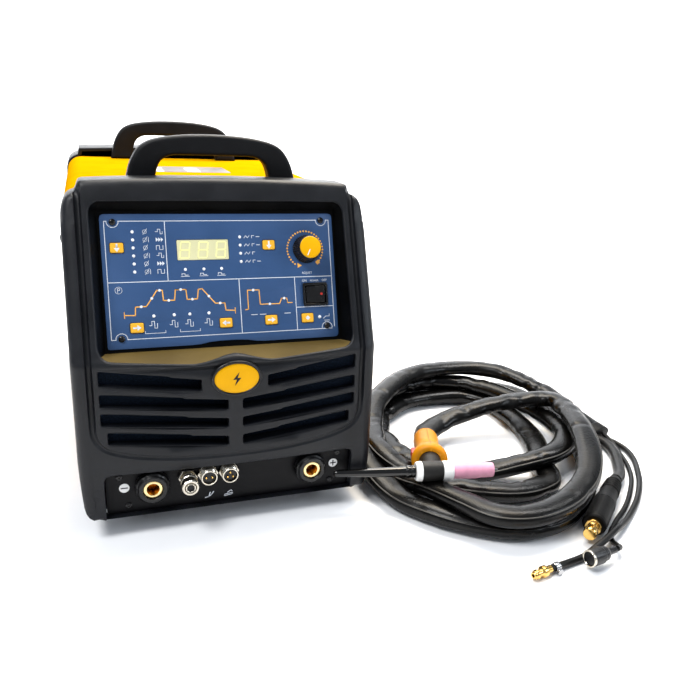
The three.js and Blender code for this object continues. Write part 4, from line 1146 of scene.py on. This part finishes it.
def control_panel():
    loops = [panel_outline()]
    for x, y, _ in BUTTONS.values():
        loops.append(rectangle(x, y, 12.4, 9.6, 1.6))
    loops.append(rectangle(*DISPLAY_AT, 47.6, 19, 1.2))
    loops.append(rectangle(*SWITCH_AT, 22.8, 20.2, 1))
    loops.append(circle(*KNOB_AT, 5.4, 24))
    panel = piece("control_panel_film", *on_face(plate(loops, -2, 0, 0.3)), BLUE, "machine",
                  40, "blue_panel")
    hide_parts("control_panel")
    panel_prints()

    piece("display_lens", *on_face(plate([rectangle(*DISPLAY_AT, 47, 18.4, 1)], -1.6, -0.1, 0.3)),
          LENS, "machine")
    digits = [seven_segment(-35.2 + 16.5 * k, DISPLAY_AT[1], 14.5, 8.2) for k in range(3)]
    piece("display_digits", *on_face(joined(digits), 0, 0, 0.0), DIGIT, "machine", 180)
    for name, (x, y, angle) in BUTTONS.items():
        cap = plate([rectangle(x, y, 11.6, 8.8, 1.5)], -3.4, 1.2, 0.8, 3)
        made = piece(name + "_cap", *on_face(cap), BUTTON, name, 40, "yellow_plastic")
        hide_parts(name)
        if angle is None:
            mark = ([(x, y - 2.3, 1.26), (x + 2.3, y, 1.26), (x, y + 2.3, 1.26),
                     (x - 2.3, y, 1.26)], [(0, 1, 2, 3)])
        else:
            mark = arrow(x, y, angle, 1.05, 1.26)
        piece(name + "_mark", *on_face(mark), WHITE_INK, name, 180)

    lights = [(-80.6, 43.1 - 7.2 * k) for k in range(6)]
    lights += [(-35.9, 8.2), (-19.1, 8.2), (-2.7, 8.3)]
    lights += [(16.1, 37.4 - 7.7 * k) for k in range(4)]
    lights += [(-66.6, -33.1), (-48.6, -32.8), (-34.6, -32.8), (-17.1, -32.6), (89.7, -41.3)]
    dome = [(0, 1.0), (0.7, 0.9), (1.2, 0.5), (1.4, 0), (1.4, -0.4), (0, -0.4)]
    piece("status_lights", *on_face(joined([moved(lathe(dome, 16, 0.2),
          Matrix.Translation((x, y, 0))) for x, y in lights])), LED_CLEAR, "machine")
    for k, (x, y) in enumerate(((-97.1, 51.9), (96.4, 52.5), (-95.5, -52.3), (96.7, -50.2))):
        add_screw(f"panel_screw_{k}", FACE_M @ Matrix.Translation((x, y, SURFACE)), 3.0,
                  "machine", SCREW)


def knob_and_switch():
    place = FACE_M @ Matrix.Translation((*KNOB_AT, SURFACE + 0.3))

    def knurl(angle, height):
        if 0.8 < height < 15.0:
            return 1 + 0.028 * math.cos(40 * angle)
        return 1
    skirt = lathe([(0, 0.2), (12.6, 0.2), (13.4, 0.6), (13.4, 2.2), (12.6, 3.4), (12.1, 6),
                   (11.4, 13.6), (11.0, 15.2), (10.3, 15.9), (9.6, 15.9), (9.6, 15.2),
                   (0, 15.2)], 160, 0.25, knurl)
    made = piece("knob_body", *moved(skirt, place), KNURL, "knob", 50, "black_plastic")
    cap = lathe([(0, 15.4), (10.1, 15.4), (10.3, 16.2), (9.6, 16.9), (0, 17.0)], 56, 0.3)
    piece("knob_cap", *moved(cap, place), KNOB_CAP, "knob", 50)
    bar = [(-4.0, -7.6), (-3.3, -8.0), (-0.4, -2.2), (-1.1, -1.9)]
    piece("knob_pointer", *moved(([(x, y, 17.05) for x, y in bar], [(0, 1, 2, 3)]), place),
          WHITE, "knob", 180)
    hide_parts("knob")

    place = FACE_M @ Matrix.Translation((*SWITCH_AT, SURFACE + 0.3))
    flange = plate([rectangle(0, 0, 24.8, 22.3, 1.6), rectangle(0, 0, 20.6, 17.2, 0.8)],
                   0, 2.0, 0.5)
    made = piece("switch_bezel", *moved(flange, place), SMOOTH, "machine", 40, "black_plastic")
    sleeve = plate([rectangle(0, 0, 22, 19.4, 1), rectangle(0, 0, 20.6, 17.2, 0.8)],
                   -9, 0.3, 0.2)
    piece("switch_sleeve", *moved(sleeve, place), SMOOTH, "machine", 40)
    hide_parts("switch_housing")
    profile = rounded([(-9.6, -4.1), (9.6, -4.1), (9.3, 1.2), (8.5, 4.3), (0.2, 1.2),
                       (-8.6, 0.5), (-9.5, -0.4)], 0.7, True, 3)
    rocker = plate([profile], -8.1, 8.1, 0.5)
    turn = Matrix(((1, 0, 0, 0), (0, 0, 1, 0), (0, 1, 0, 0), (0, 0, 0, 1)))
    made = piece("rocker_cap", *moved(rocker, place @ turn), SMOOTH, "switch_rocker", 40,
                 "black_plastic")
    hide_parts("switch_rocker")
    dot = moved(disc(0, 0, 1.2, 0.08, 18), Matrix.Translation((5.6, 0, 3.22))
                @ Matrix.Rotation(math.radians(-20.5), 4, "Y"))
    piece("rocker_dot", *moved(dot, place), RED, "switch_rocker", 180)


# ------------------------------------------------------------------ casing

def casing():
    cover_path = [(123.5, 2.2), (133.5, 2.1), (138.5, 12), (138.5, 271.5)]
    for k in range(13):
        a = math.pi / 2 * k / 12
        cover_path.append((120.5 + 18 * math.cos(a), 271.5 + 18 * math.sin(a)))
    full = cover_path + [(-x, z) for x, z in cover_path[::-1]]
    inner = []
    for i, p in enumerate(full):
        a, b = Vector(full[max(i - 1, 0)]), Vector(full[min(i + 1, len(full) - 1)])
        t = (b - a).normalized()
        inner.append(tuple(Vector(p) + Vector((-t.y, t.x)) * 1.4))
    loop = full + inner[::-1]
    verts, faces = [], []
    stations = [-175.7, -60, 60, 175.7]
    for y in stations:
        verts += [(x, y, z) for x, z in loop]
    count = len(loop)
    for j in range(len(stations) - 1):
        for k in range(count):
            n = (k + 1) % count
            faces.append((j * count + k, j * count + n, (j + 1) * count + n, (j + 1) * count + k))
    half = len(full)
    for j in (0, len(stations) - 1):
        for k in range(half - 1):
            faces.append((j * count + k, j * count + k + 1, j * count + count - 2 - k,
                          j * count + count - 1 - k))
    made = piece("case_cover_sheet", verts, faces, YELLOW, "machine", 30, "yellow_paint")
    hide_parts("case_cover")

    for side in (-1, 1):
        for row, z in enumerate((248, 135, 10)):
            matrix = axes_matrix((side * 139.9, -195, z), (side, 0, 0))
            add_screw(f"side_screw_{'left' if side < 0 else 'right'}_{row}", matrix, 4.2,
                      "machine", SCREW)
    label = plate([rectangle(0, 0, 92, 66, 3)], 0, 0.25, 0.1, 1)
    piece("cover_label", *moved(label, Matrix.Translation((0, 18, 289.5))), STICKER,
          "machine", 30)
    squares = [(rectangle(x, -6, 15, 46, 0.5), 0.3) for x in (-38, 4)]
    fields = joined([([(x, y, z) for x, y in loop], [tuple(range(len(loop)))])
                     for loop, z in squares])
    piece("cover_label_fields", *moved(fields, Matrix.Translation((0, 18, 289.5))), WHITE,
          "machine", 180)


def handle_outline():
    outer = [(-83, 289.9), (-82, 294), (-80.4, 302), (-77.5, 312), (-73, 321), (-67, 328.2),
             (-58, 333.2), (-46, 336.2), (-30, 338.3), (-14, 339.3), (0, 339.6)]
    inner = [(0, 320.4), (-20, 320.4), (-36, 320.2), (-43, 318.6), (-48.6, 315.2),
             (-52, 309.6), (-54.2, 302), (-55.4, 294), (-55.8, 289.9)]
    top = [tuple(p)[:2] for p in smooth_path([(x, z, 0) for x, z in outer], 3)]
    low = [tuple(p)[:2] for p in smooth_path([(x, z, 0) for x, z in inner], 3)]
    right_top = [(-x, z) for x, z in top[::-1]][1:]
    right_low = [(-x, z) for x, z in low[::-1]]
    return top + right_top + right_low + low[1:]


def handles():
    outline = handle_outline()
    turn = Matrix(((1, 0, 0, 0), (0, 0, -1, 0), (0, 1, 0, 0), (0, 0, 0, 1)))
    for name, y in (("front_handle", -161), ("rear_handle", 161)):
        data = moved(plate([outline], -9, 9, 3.6, 4), Matrix.Translation((0, y, 0)) @ turn)
        flare = []
        for x, yy, z in data[0]:
            t = max(0, (303 - z) / 14)
            grow = 1 + 0.10 * t * t
            flare.append((x, y + (yy - y) * grow, max(z, 289.7)))
        made = piece(name + "_arch", flare, data[1], HANDLE, "machine", 60, "black_plastic")
        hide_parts(name)


def feet():
    for end, sy in (("front", -1), ("rear", 1)):
        for side, sx in (("left", -1), ("right", 1)):
            profile = [(0, -19), (14.4, -19), (16.3, -17.4), (16.8, -11), (17.4, -4),
                       (17.6, -0.4), (0, -0.4)]
            made = piece(f"foot_{end}_{side}_pad", *moved(lathe(profile, 48, 0.8),
                         Matrix.Translation((sx * 84, sy * 225, 0))), RUBBER, "machine",
                         50, "rubber")
            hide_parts(f"foot_{end}_{side}")


def rear_bezel():
    """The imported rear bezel's own shape with its edges rounded."""
    source = NODES["rear_bezel"].data
    made = bmesh.new()
    made.from_mesh(source)
    bmesh.ops.remove_doubles(made, verts=made.verts, dist=0.00002)
    bmesh.ops.dissolve_limit(made, angle_limit=0.02, verts=made.verts, edges=made.edges)
    sharp = [e for e in made.edges if len(e.link_faces) == 2
             and e.calc_face_angle(0) > math.radians(40)]
    bmesh.ops.bevel(made, geom=sharp, offset=0.0009, segments=2, profile=0.5,
                    affect="EDGES", clamp_overlap=True)
    verts = [tuple(v.co / MM) for v in made.verts]
    made.verts.index_update()
    faces = [tuple(v.index for v in f.verts) for f in made.faces]
    made.free()
    thing = piece("rear_bezel_shell", verts, faces, BEZEL, "machine", 32, "black_plastic")
    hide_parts("rear_bezel")


# ------------------------------------------------------------------ lower front

FRONT_Y = -265.5


def facing(x, z, out=0.0):
    """Local +Z runs out of the connection panel, local +Y is up."""
    return Matrix(((1, 0, 0, x), (0, 0, -1, FRONT_Y - out), (0, 1, 0, z), (0, 0, 0, 1)))


def badge():
    tilt = math.atan2(4, 146.5)
    y = base_y(133)
    matrix = Matrix.Translation((0.8, y - 0.2, 134)) @ Matrix.Rotation(math.pi / 2 - tilt, 4, "X")

    def oval(profile, a, b, count=72):
        verts, faces = [], []
        for inset, h in profile:
            for k in range(count):
                t = 2 * math.pi * k / count
                verts.append(((a - inset) * math.cos(t), (b - inset) * math.sin(t), h))
        for j in range(len(profile) - 1):
            for k in range(count):
                n = (k + 1) % count
                faces.append((j * count + k, j * count + n, (j + 1) * count + n,
                              (j + 1) * count + k))
        faces.append(tuple((len(profile) - 1) * count + k for k in range(count)))
        return verts, faces
    rim = oval([(0, -4.6), (0, 1.2), (0.35, 2.1), (1.1, 2.5), (2.0, 2.4), (2.7, 1.7),
                (2.9, 1.2)], 23.2, 16.8)
    made = piece("badge_rim", *moved(rim, matrix), SMOOTH, "machine", 60)
    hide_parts("badge")
    dome = oval([(0, 1.0), (0.2, 1.5), (0.7, 1.8), (3, 2.15), (7, 2.4), (10.5, 2.5)], 20.6, 14.2)
    piece("badge_dome", *moved(dome, matrix), KNOB_CAP, "machine", 60, "yellow_plastic")
    line = []
    for k in range(60):
        t = 2 * math.pi * k / 60
        line.append((17.6 * math.cos(t), 11.4 * math.sin(t)))
    piece("badge_line", *moved(stroke(line, 0.5, 2.08, True), matrix), BLACK_INK, "machine", 180)
    bolt = [(2.2, 6.6), (-3.8, -0.8), (-0.4, -0.8), (-2.2, -6.6), (3.8, 0.8), (0.4, 0.8)]
    piece("badge_spark", *moved(([(x, y, 2.62) for x, y in bolt], [(0, 1, 2, 5), (2, 3, 4, 5)]),
                                matrix), BLACK_INK, "machine", 180)


def connection_panel():
    loops = [rounded([(-118, 2), (118, 2), (118, 45.4), (-118, 45.4)], 5, True, 5)]
    for x in (-76.5, 76.5):
        loops.append(circle(x, 28, 12.9))
    loops.append(circle(-44, 33, 5.5))
    for x in (-25, -5):
        loops.append(circle(x, 34, 6.5))
    matrix = Matrix(((1, 0, 0, 0), (0, 0, -1, FRONT_Y), (0, 1, 0, 0), (0, 0, 0, 1)))
    made = piece("connection_plate", *moved(plate(loops, -2, 0, 0.4), matrix), PLATE, "machine",
                 40, "black_paint")
    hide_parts("connection_panel")
    for k, (x, z) in enumerate(((105.7, 39.5), (98.5, 9.4), (-105.7, 39.5), (-98.5, 9.4))):
        add_screw(f"connection_screw_{k}", facing(x, z), 3.5, "machine", SCREW)
    for name, x, plus in (("negative", -101.6, False), ("positive", 101.6, True)):
        piece(name + "_disc", *moved(plate([circle(0, 0, 4.65)], 0, 0.3, 0.12, 1),
                                     facing(x, 28)), WHITE, "machine", 40)
        bars = [stroke([(-2.6, 0), (2.6, 0)], 1.2, 0.36)]
        if plus:
            bars.append(stroke([(0, -2.6), (0, 2.6)], 1.2, 0.37))
        piece(name + "_sign", *moved(joined(bars), facing(x, 28)), BLACK_INK, "machine", 180)
    ink = [stroke([(-27.5, 7), (-24.5, 7.5), (-21.5, 9.6), (-19.5, 12.4)], 0.9, 0.1),
           stroke([(-24.2, 7.6), (-22.8, 12)], 0.9, 0.1),
           stroke([(-9, 6.2), (-1.5, 7.4), (-1, 9), (-8.6, 7.8), (-9, 6.2)], 0.7, 0.1),
           stroke([(-6, 9.6), (-2.4, 12), (-1.6, 10.6)], 0.7, 0.1)]
    piece("connection_icons", *moved(joined(ink), matrix), WHITE_INK, "machine", 180)


def weld_sockets():
    for name, x in (("negative_socket", -76.5), ("positive_socket", 76.5)):
        def flats(angle, height):
            if height < 0.2:
                return 1
            return 1 - 0.03 * max(0, math.cos(6 * angle)) ** 6
        body = lathe([(9.2, -19), (12.3, -19), (12.3, 0.3), (15.6, 0.3), (15.7, 5), (15.3, 7.4),
                      (14.0, 8.6), (13.0, 10.6), (12.4, 11), (9.6, 11), (9.2, 10.2), (9.2, -19)],
                     72, 0.5, flats)
        made = piece(name + "_shroud", *moved(body, facing(x, 28)), SMOOTH, "machine", 50,
                     "black_plastic")
        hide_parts(name + "_housing")

        def key(angle, height):
            off = math.atan2(math.sin(angle - math.pi / 2), math.cos(angle - math.pi / 2))
            return 1.32 if abs(off) < 0.27 else 1
        ring = lathe([(0, -22), (8.7, -22), (8.7, 8.9), (8.2, 9.5), (6.4, 9.5), (5.8, 8.9)],
                     72, 0.35)
        bore = lathe([(5.8, 8.9), (5.8, -16.5), (0, -16.5)], 72, 0, key)
        made = piece(name + "_brass", *moved(joined([ring, bore]), facing(x, 28)),
                     BRASS, "machine", 50, "brass")
        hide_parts(name + "_contact")
        face = lathe([(5.9, 9.3), (6.4, 9.56), (8.2, 9.56), (8.6, 9.2)], 72, 0)
        piece(name + "_ring_face", *moved(face, facing(x, 28)), BRASS_PALE, "machine", 50)


def control_sockets():
    for name, x, pins in (("two_pin_socket", -25, 2), ("three_pin_socket", -5, 3)):
        thread = [(0, -14), (6.2, -14), (6.2, 0.2), (9.0, 0.3), (9.0, 2.8), (8.0, 3.2)]
        h = 3.6
        while h < 11.2:
            thread += [(7.9, h), (7.45, h + 0.35)]
            h += 0.7
        thread += [(7.7, 11.6), (7.4, 12), (6.5, 12), (6.3, 11.6), (6.3, 9)]
        made = piece(name + "_barrel", *moved(lathe(thread, 56, 0.1), facing(x, 34)), NICKEL,
                     "machine", 40, "nickel")
        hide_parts(name)
        nut = lathe([(7.9, 0.3), (9.9, 0.3), (10.1, 0.8), (10.1, 3.0), (9.6, 3.5), (7.9, 3.5)],
                    6, 0.0)
        piece(name + "_nut", *moved(nut, facing(x, 34)), NICKEL, "machine", 30)
        core = lathe([(0, 9.6), (5.6, 9.6), (6.2, 9.2), (6.2, 8), (0, 8)], 40, 0.2)
        piece(name + "_core", *moved(core, facing(x, 34)), SMOOTH, "machine", 50)
        pin_parts = []
        for k in range(pins):
            a = 2 * math.pi * k / pins + (0 if pins == 2 else math.pi / 2)
            pin_parts.append(moved(lathe([(0, 9.4), (0.95, 9.4), (0.95, 11.4), (0.5, 11.9),
                                          (0, 11.9)], 16, 0.15),
                                   Matrix.Translation((2.9 * math.cos(a), 2.9 * math.sin(a), 0))))
        piece(name + "_pins", *moved(joined(pin_parts), facing(x, 34)), BRASS, "machine", 50)


def gas_outlet():
    hexagon = lathe([(0, 0.3), (8.6, 0.3), (9.4, 0.9), (9.4, 4.9), (8.6, 5.5), (0, 5.5)], 6, 0)
    body = lathe([(0, -16), (5, -16), (5, 5.5), (5.9, 5.7), (5.9, 6.1), (5.1, 6.3), (5.1, 23.4),
                  (4.6, 24.6), (3.9, 25), (3.4, 24.6), (3.4, 22.5), (0, 22.5)], 48, 0.2)
    made = piece("gas_outlet_valve", *moved(joined([hexagon, body]), facing(-44, 33)), NICKEL,
                 "machine", 35, "nickel")
    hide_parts("gas_outlet_body")

    def ribs(angle, height):
        return 1 + 0.018 * math.cos(34 * angle) if 10.8 < height < 14.6 or height > 20.6 else 1
    sleeve = lathe([(5.35, 10.5), (7.4, 10.5), (7.95, 11.4), (7.95, 14), (7.2, 15), (7.2, 20),
                    (7.95, 20.9), (7.95, 23.4), (7.2, 24.5), (5.8, 24.5), (5.35, 24), (5.35, 10.5)],
                   136, 0.2, ribs)
    made = piece("gas_outlet_collar", *moved(sleeve, facing(-44, 33)), NICKEL,
                 "gas_outlet_sleeve", 35, "nickel")
    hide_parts("gas_outlet_sleeve")
    seal = lathe([(0, 22.6), (2.6, 22.6), (3.3, 22.8), (3.3, 22.4), (0, 22.4)], 32, 0)
    piece("gas_outlet_seal", *moved(seal, facing(-44, 33)), BLACK_INK, "machine", 50)


# ------------------------------------------------------------------ torch

YAW, GRIP_LEAN, GRIP_SLOPE = math.radians(-11.5), math.radians(-11), math.radians(-9)
HEAD_M = Matrix.Translation((198.5, -297.5, 22)) @ Matrix.Rotation(YAW, 4, "Z")
ALONG_HEAD = HEAD_M @ Matrix.Rotation(math.pi / 2, 4, "Y")
GRIP_M = (HEAD_M @ Matrix.Rotation(GRIP_LEAN, 4, "Z") @ Matrix.Rotation(GRIP_SLOPE, 4, "X"))
ALONG_GRIP = GRIP_M @ Matrix.Rotation(-math.pi / 2, 4, "X")


def torch_head():
    core = lathe([(3.0, -10.7), (9.7, -10.7), (10.3, -10.1), (10.45, -4), (10.45, 4),
                  (10.3, 10.1), (9.7, 10.7), (3.0, 10.7)], 64, 0.4)
    head = piece("torch_head_shell", *moved(core, ALONG_HEAD), TORCH_BLACK, "torch_set", 50,
                 "black_plastic")
    rows = [(0, 8.4, 8.8), (4, 8.5, 9.0), (8, 8.7, 9.2), (11, 9.1, 9.5), (14, 9.7, 10.0),
            (18, 10.5, 10.6), (23, 11.2, 11.2), (30, 11.4, 11.4), (39, 11.4, 11.4)]

    def ridges(angle, height):
        ridge = 1 + 0.02 * math.sin(3 * angle + height * 0.4)
        return ridge, ridge
    piece("torch_neck", *moved(stacked(rows, 48, ridges), ALONG_GRIP), TORCH_BLACK, "torch_set",
          60)
    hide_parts("torch_head")


def torch_front():
    """Insulators, ceramic cup, electrode and the collet body inside the cup."""
    rear_ring = lathe([(6.6, -17.2), (8.8, -17.2), (9.8, -16.2), (10.25, -14), (10.35, -11.2),
                       (10.0, -10.9), (3.2, -10.9), (3.2, -17.2), (6.6, -17.2)], 56, 0.5)
    piece("rear_insulator", *moved(rear_ring, ALONG_HEAD), WHITE, "torch_set", 50,
          "white_plastic")
    gasket = lathe([(2.5, 11), (9.9, 11), (10.3, 11.6), (10.3, 18.6), (10.0, 20.2), (9.3, 21.7),
                    (2.5, 21.7), (2.5, 11)], 56, 0.5)
    made = piece("front_insulator", *moved(gasket, ALONG_HEAD), WHITE, "torch_set", 50,
                 "white_plastic")
    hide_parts("cup_gasket")
    cup = lathe([(5.0, 22), (8.0, 22), (8.3, 23), (8.65, 30), (8.65, 43), (8.45, 48.6),
                 (8.2, 49.4), (8.15, 50.4), (7.95, 51), (7.6, 63.2), (7.2, 65), (5.4, 65),
                 (4.9, 64.2), (4.9, 26), (5.0, 22)], 64, 0.4)
    made = piece("cup", *moved(cup, ALONG_HEAD), PINK, "ceramic_cup", 50, "pink_ceramic")
    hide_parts("ceramic_cup")
    rod = lathe([(0, -70), (1.2, -70), (1.2, 66.4), (0.35, 70.5), (0, 70.5)], 24, 0)
    made = piece("tungsten_rod", *moved(rod, ALONG_HEAD), TUNGSTEN, "torch_set", 50, "tungsten")
    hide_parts("electrode")
    nozzle = lathe([(1.3, 22), (4.4, 22), (4.4, 40), (3.4, 46), (1.3, 46), (1.3, 22)], 32, 0.3)
    piece("collet_body", *moved(nozzle, ALONG_HEAD), BRASS_DARK, "torch_set", 50)


def torch_back_cap():
    cap = lathe([(0, -101.7), (1.6, -101.6), (2.9, -100.8), (3.6, -99), (5.25, -34), (5.5, -27.4),
                 (6.2, -26.6), (6.45, -25.6), (6.45, -22.6), (5.9, -22.2), (5.9, -21.2),
                 (6.45, -20.8), (6.45, -18.2), (6.1, -17.7), (1.8, -17.7), (1.8, -95)], 56, 0.4)
    made = piece("back_cap_shell", *moved(cap, ALONG_HEAD), CAP_BLACK, "back_cap", 50,
                 "black_plastic")
    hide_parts("back_cap")


def torch_grip():
    rows = [(28.6, 11.9, 11.9), (28.2, 15.4, 14.8), (29.6, 18.0, 17.4), (32.2, 19.6, 19.0),
            (36.5, 19.8, 19.2), (41, 19.0, 18.8), (46, 17.4, 17.8), (52, 15.6, 16.4),
            (58, 14.5, 15.3), (66, 14.0, 14.7), (76, 13.9, 14.5), (88, 14.3, 14.8),
            (98, 14.8, 15.0), (104, 14.8, 14.9), (109, 14.2, 14.3), (112, 13.0, 13.1),
            (113.7, 11.0, 11.0), (113.9, 7, 7), (113.9, 0.1, 0.1)]

    def flats(angle, height):
        return 1 - 0.03 * math.cos(2 * angle) * (1 if height > 40 else 0.3), 1
    inner = lathe([(11.9, 28.6), (11.9, 41), (0, 41)], 48, 0)
    made = piece("torch_grip", *moved(joined([stacked(rows, 72, flats), inner]), ALONG_GRIP),
                 GOLD_PLASTIC, "torch_set", 60, "yellow_plastic")
    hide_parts("torch_handle")
    seam = [(33, 19.3), (41, 18.9), (52, 16.5), (66, 14.75), (88, 14.85), (104, 14.95),
            (110, 13.9)]
    for side in (-1, 1):
        line = smooth_path([(0, side * (r + 0.02), h) for h, r in seam], 2)
        piece(f"grip_seam_{'a' if side < 0 else 'b'}", *moved(tube(line, lambda s, a: (
            0.22 * math.cos(a), 0.22 * math.sin(a)), 6, flat=False), ALONG_GRIP),
            TORCH_BLACK, "torch_set", 80)
    strain = lathe([(0, 108), (11.4, 108), (12, 114.4), (11.6, 117), (10.6, 121), (9.6, 126),
                    (0, 126)], 40, 0.6)
    piece("grip_boot", *moved(strain, ALONG_GRIP), RUBBER, "torch_set", 50)


def torch_trigger():
    outline = rounded([(-3.7, -11), (3.7, -10.2), (3.7, 10.2), (-3.7, 11), (-4.4, 6), (-4.5, -6)],
                      2.2, True, 5)
    key = plate([outline], -4.5, 4.5, 1.2, 3)
    made = piece("trigger_key", *moved(key, GRIP_M @ Matrix.Translation((-14.9, 52, 0))), RED,
                 "torch_trigger", 50, "red_plastic")
    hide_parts("torch_trigger")


# ------------------------------------------------------------------ lead ends

def laid(at, heading):
    """Local +Z runs along the heading, in degrees anticlockwise from +Y."""
    a = math.radians(heading)
    return axes_matrix(at, (-math.sin(a), math.cos(a), 0))


def power_plug():
    matrix = laid((409.5, -326, -6.8), 130.5)

    def grip(angle, height):
        if 54 < height < 92:
            return 1 - 0.012 * (1 - math.cos(12 * angle))
        return 1
    profile = [(0, -6), (7, -6), (7.6, -2)]
    for k in range(5):
        h = 1 + 5.2 * k
        profile += [(8.0 + 0.32 * k, h), (9.0 + 0.32 * k, h + 0.8), (9.0 + 0.32 * k, h + 2.6),
                    (8.1 + 0.32 * k, h + 3.4)]
    profile += [(9.8, 30), (10.2, 36), (11.6, 50), (12.05, 54), (12.05, 95), (11.6, 98.6),
                (10.2, 100), (5.2, 100), (4.9, 99), (4.9, 94), (0, 94)]
    boot = piece("weld_plug_boot", *moved(lathe(profile, 96, 0.5, grip), matrix), RUBBER,
                 "torch_set", 50, "rubber")
    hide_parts("power_plug_boot")
    pin = lathe([(0, 94.5), (4.5, 94.5), (4.5, 100.2), (7.6, 100.4), (8, 100.9), (8, 104.4),
                 (7.6, 105), (5.5, 105.2), (5.4, 106.4), (4.9, 107), (4.9, 110.6), (6.4, 111.4),
                 (6.6, 112.2), (6.6, 118), (6.0, 119.7), (0, 120)], 56, 0.3)
    nub = moved(lathe([(0, 0), (2.4, 0), (2.4, 4.2), (0, 4.6)], 20, 0.3),
                Matrix.Translation((0, 4.4, 110.4)) @ Matrix.Rotation(-math.pi / 2, 4, "X"))
    brass = piece("weld_plug_pin", *moved(joined([pin, nub]), matrix), BRASS, "torch_set", 50,
                  "brass")
    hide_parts("power_plug_pin")
    round_cord("power_lead", POWER_POINTS, 6.5, "power_cable", CABLE)


def gas_end():
    matrix = laid((255.8, -432.1, -13.5), 102.5)
    brass = lathe([(0, 0), (3.6, 0), (3.6, 6), (5.3, 6.4), (5.3, 10.8), (4.6, 11.4), (3.4, 12.4),
                   (3.4, 15.6), (4.4, 16.6), (4.4, 18.4), (3.7, 19), (3.7, 20.6), (2.9, 21.8),
                   (1.7, 21.8), (1.5, 21), (1.5, 14), (0, 14)], 48, 0.25)
    made = piece("hose_coupling", *moved(brass, matrix), BRASS, "torch_set", 40, "brass")
    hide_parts("gas_hose_fitting")
    back = laid((263, -430.5, -14.2), 102.5)
    band = lathe([(3.5, -3), (4.3, -3), (4.4, -2.6), (4.4, 2.6), (4.3, 3), (3.5, 3), (3.5, -3)],
                 40, 0.1)
    lug = moved(plate([rectangle(0, 0, 5.4, 5.2, 0.8)], -1.1, 1.1, 0.4),
                Matrix.Translation((5.6, -2.0, 0)) @ Matrix.Rotation(math.pi / 2, 4, "Y"))
    clamp = piece("hose_clamp", *moved(joined([band, lug]), back), ZINC, "torch_set", 40)
    round_cord("gas_lead", HOSE_POINTS, 3.3, "gas_hose", CABLE)


def control_end():
    matrix = laid((313, -433.6, -6.7), 99.8)
    data = NODES["control_plug"].data
    low = min((matrix.inverted() @ (v.co / MM)).z for v in data.vertices)
    high = max((matrix.inverted() @ (v.co / MM)).z for v in data.vertices)
    span = high - low

    def knurl(angle, height):
        return 1 + 0.02 * math.cos(30 * angle) if low + span * 0.5 < height < high - 3 else 1
    shell = lathe([(0, low), (3.2, low), (3.6, low + span * 0.28), (5.6, low + span * 0.34),
                   (6.8, low + span * 0.4), (6.9, low + span * 0.52), (7.9, low + span * 0.56),
                   (8.0, high - 2.6), (7.6, high - 1.6), (7.6, high - 2.4), (0, high - 2.4)],
                  120, 0.35, knurl)
    made = piece("control_plug_shell", *moved(shell, matrix), SMOOTH, "torch_set", 50,
                 "black_plastic")
    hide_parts("control_plug")
    ring = lathe([(6.4, high - 2.5), (7.9, high - 2.5), (8.0, high - 0.4), (7.8, high - 0.1),
                  (6.8, high - 0.1), (6.4, high - 0.6)], 56, 0.2)
    rim = piece("control_plug_ring", *moved(ring, matrix), NICKEL, "torch_set", 40)
    core = lathe([(0, high - 1.6), (6.2, high - 1.6), (6.4, high - 2.4), (0, high - 2.4)], 48, 0)
    face = piece("control_plug_face", *moved(core, matrix), SMOOTH, "torch_set", 50)
    sockets = joined([disc(2.9 * s, 0.3, 1.9, high - 1.5) for s in (-1, 1)])
    eyes = piece("control_plug_eyes", *moved(sockets, matrix), BLACK_INK, "torch_set", 180)
    round_cord("control_lead", CONTROL_POINTS, 2.6, "control_cable", CABLE)


# ------------------------------------------------------------------ run

finish_cad()
camera_and_light()
cords()
power_plug()
gas_end()
control_end()
front_bezel()
foam_backing()
control_panel()
knob_and_switch()
casing()
handles()
feet()
rear_bezel()
badge()
connection_panel()
weld_sockets()
control_sockets()
gas_outlet()
torch_head()
torch_front()
torch_back_cap()
torch_grip()
torch_trigger()
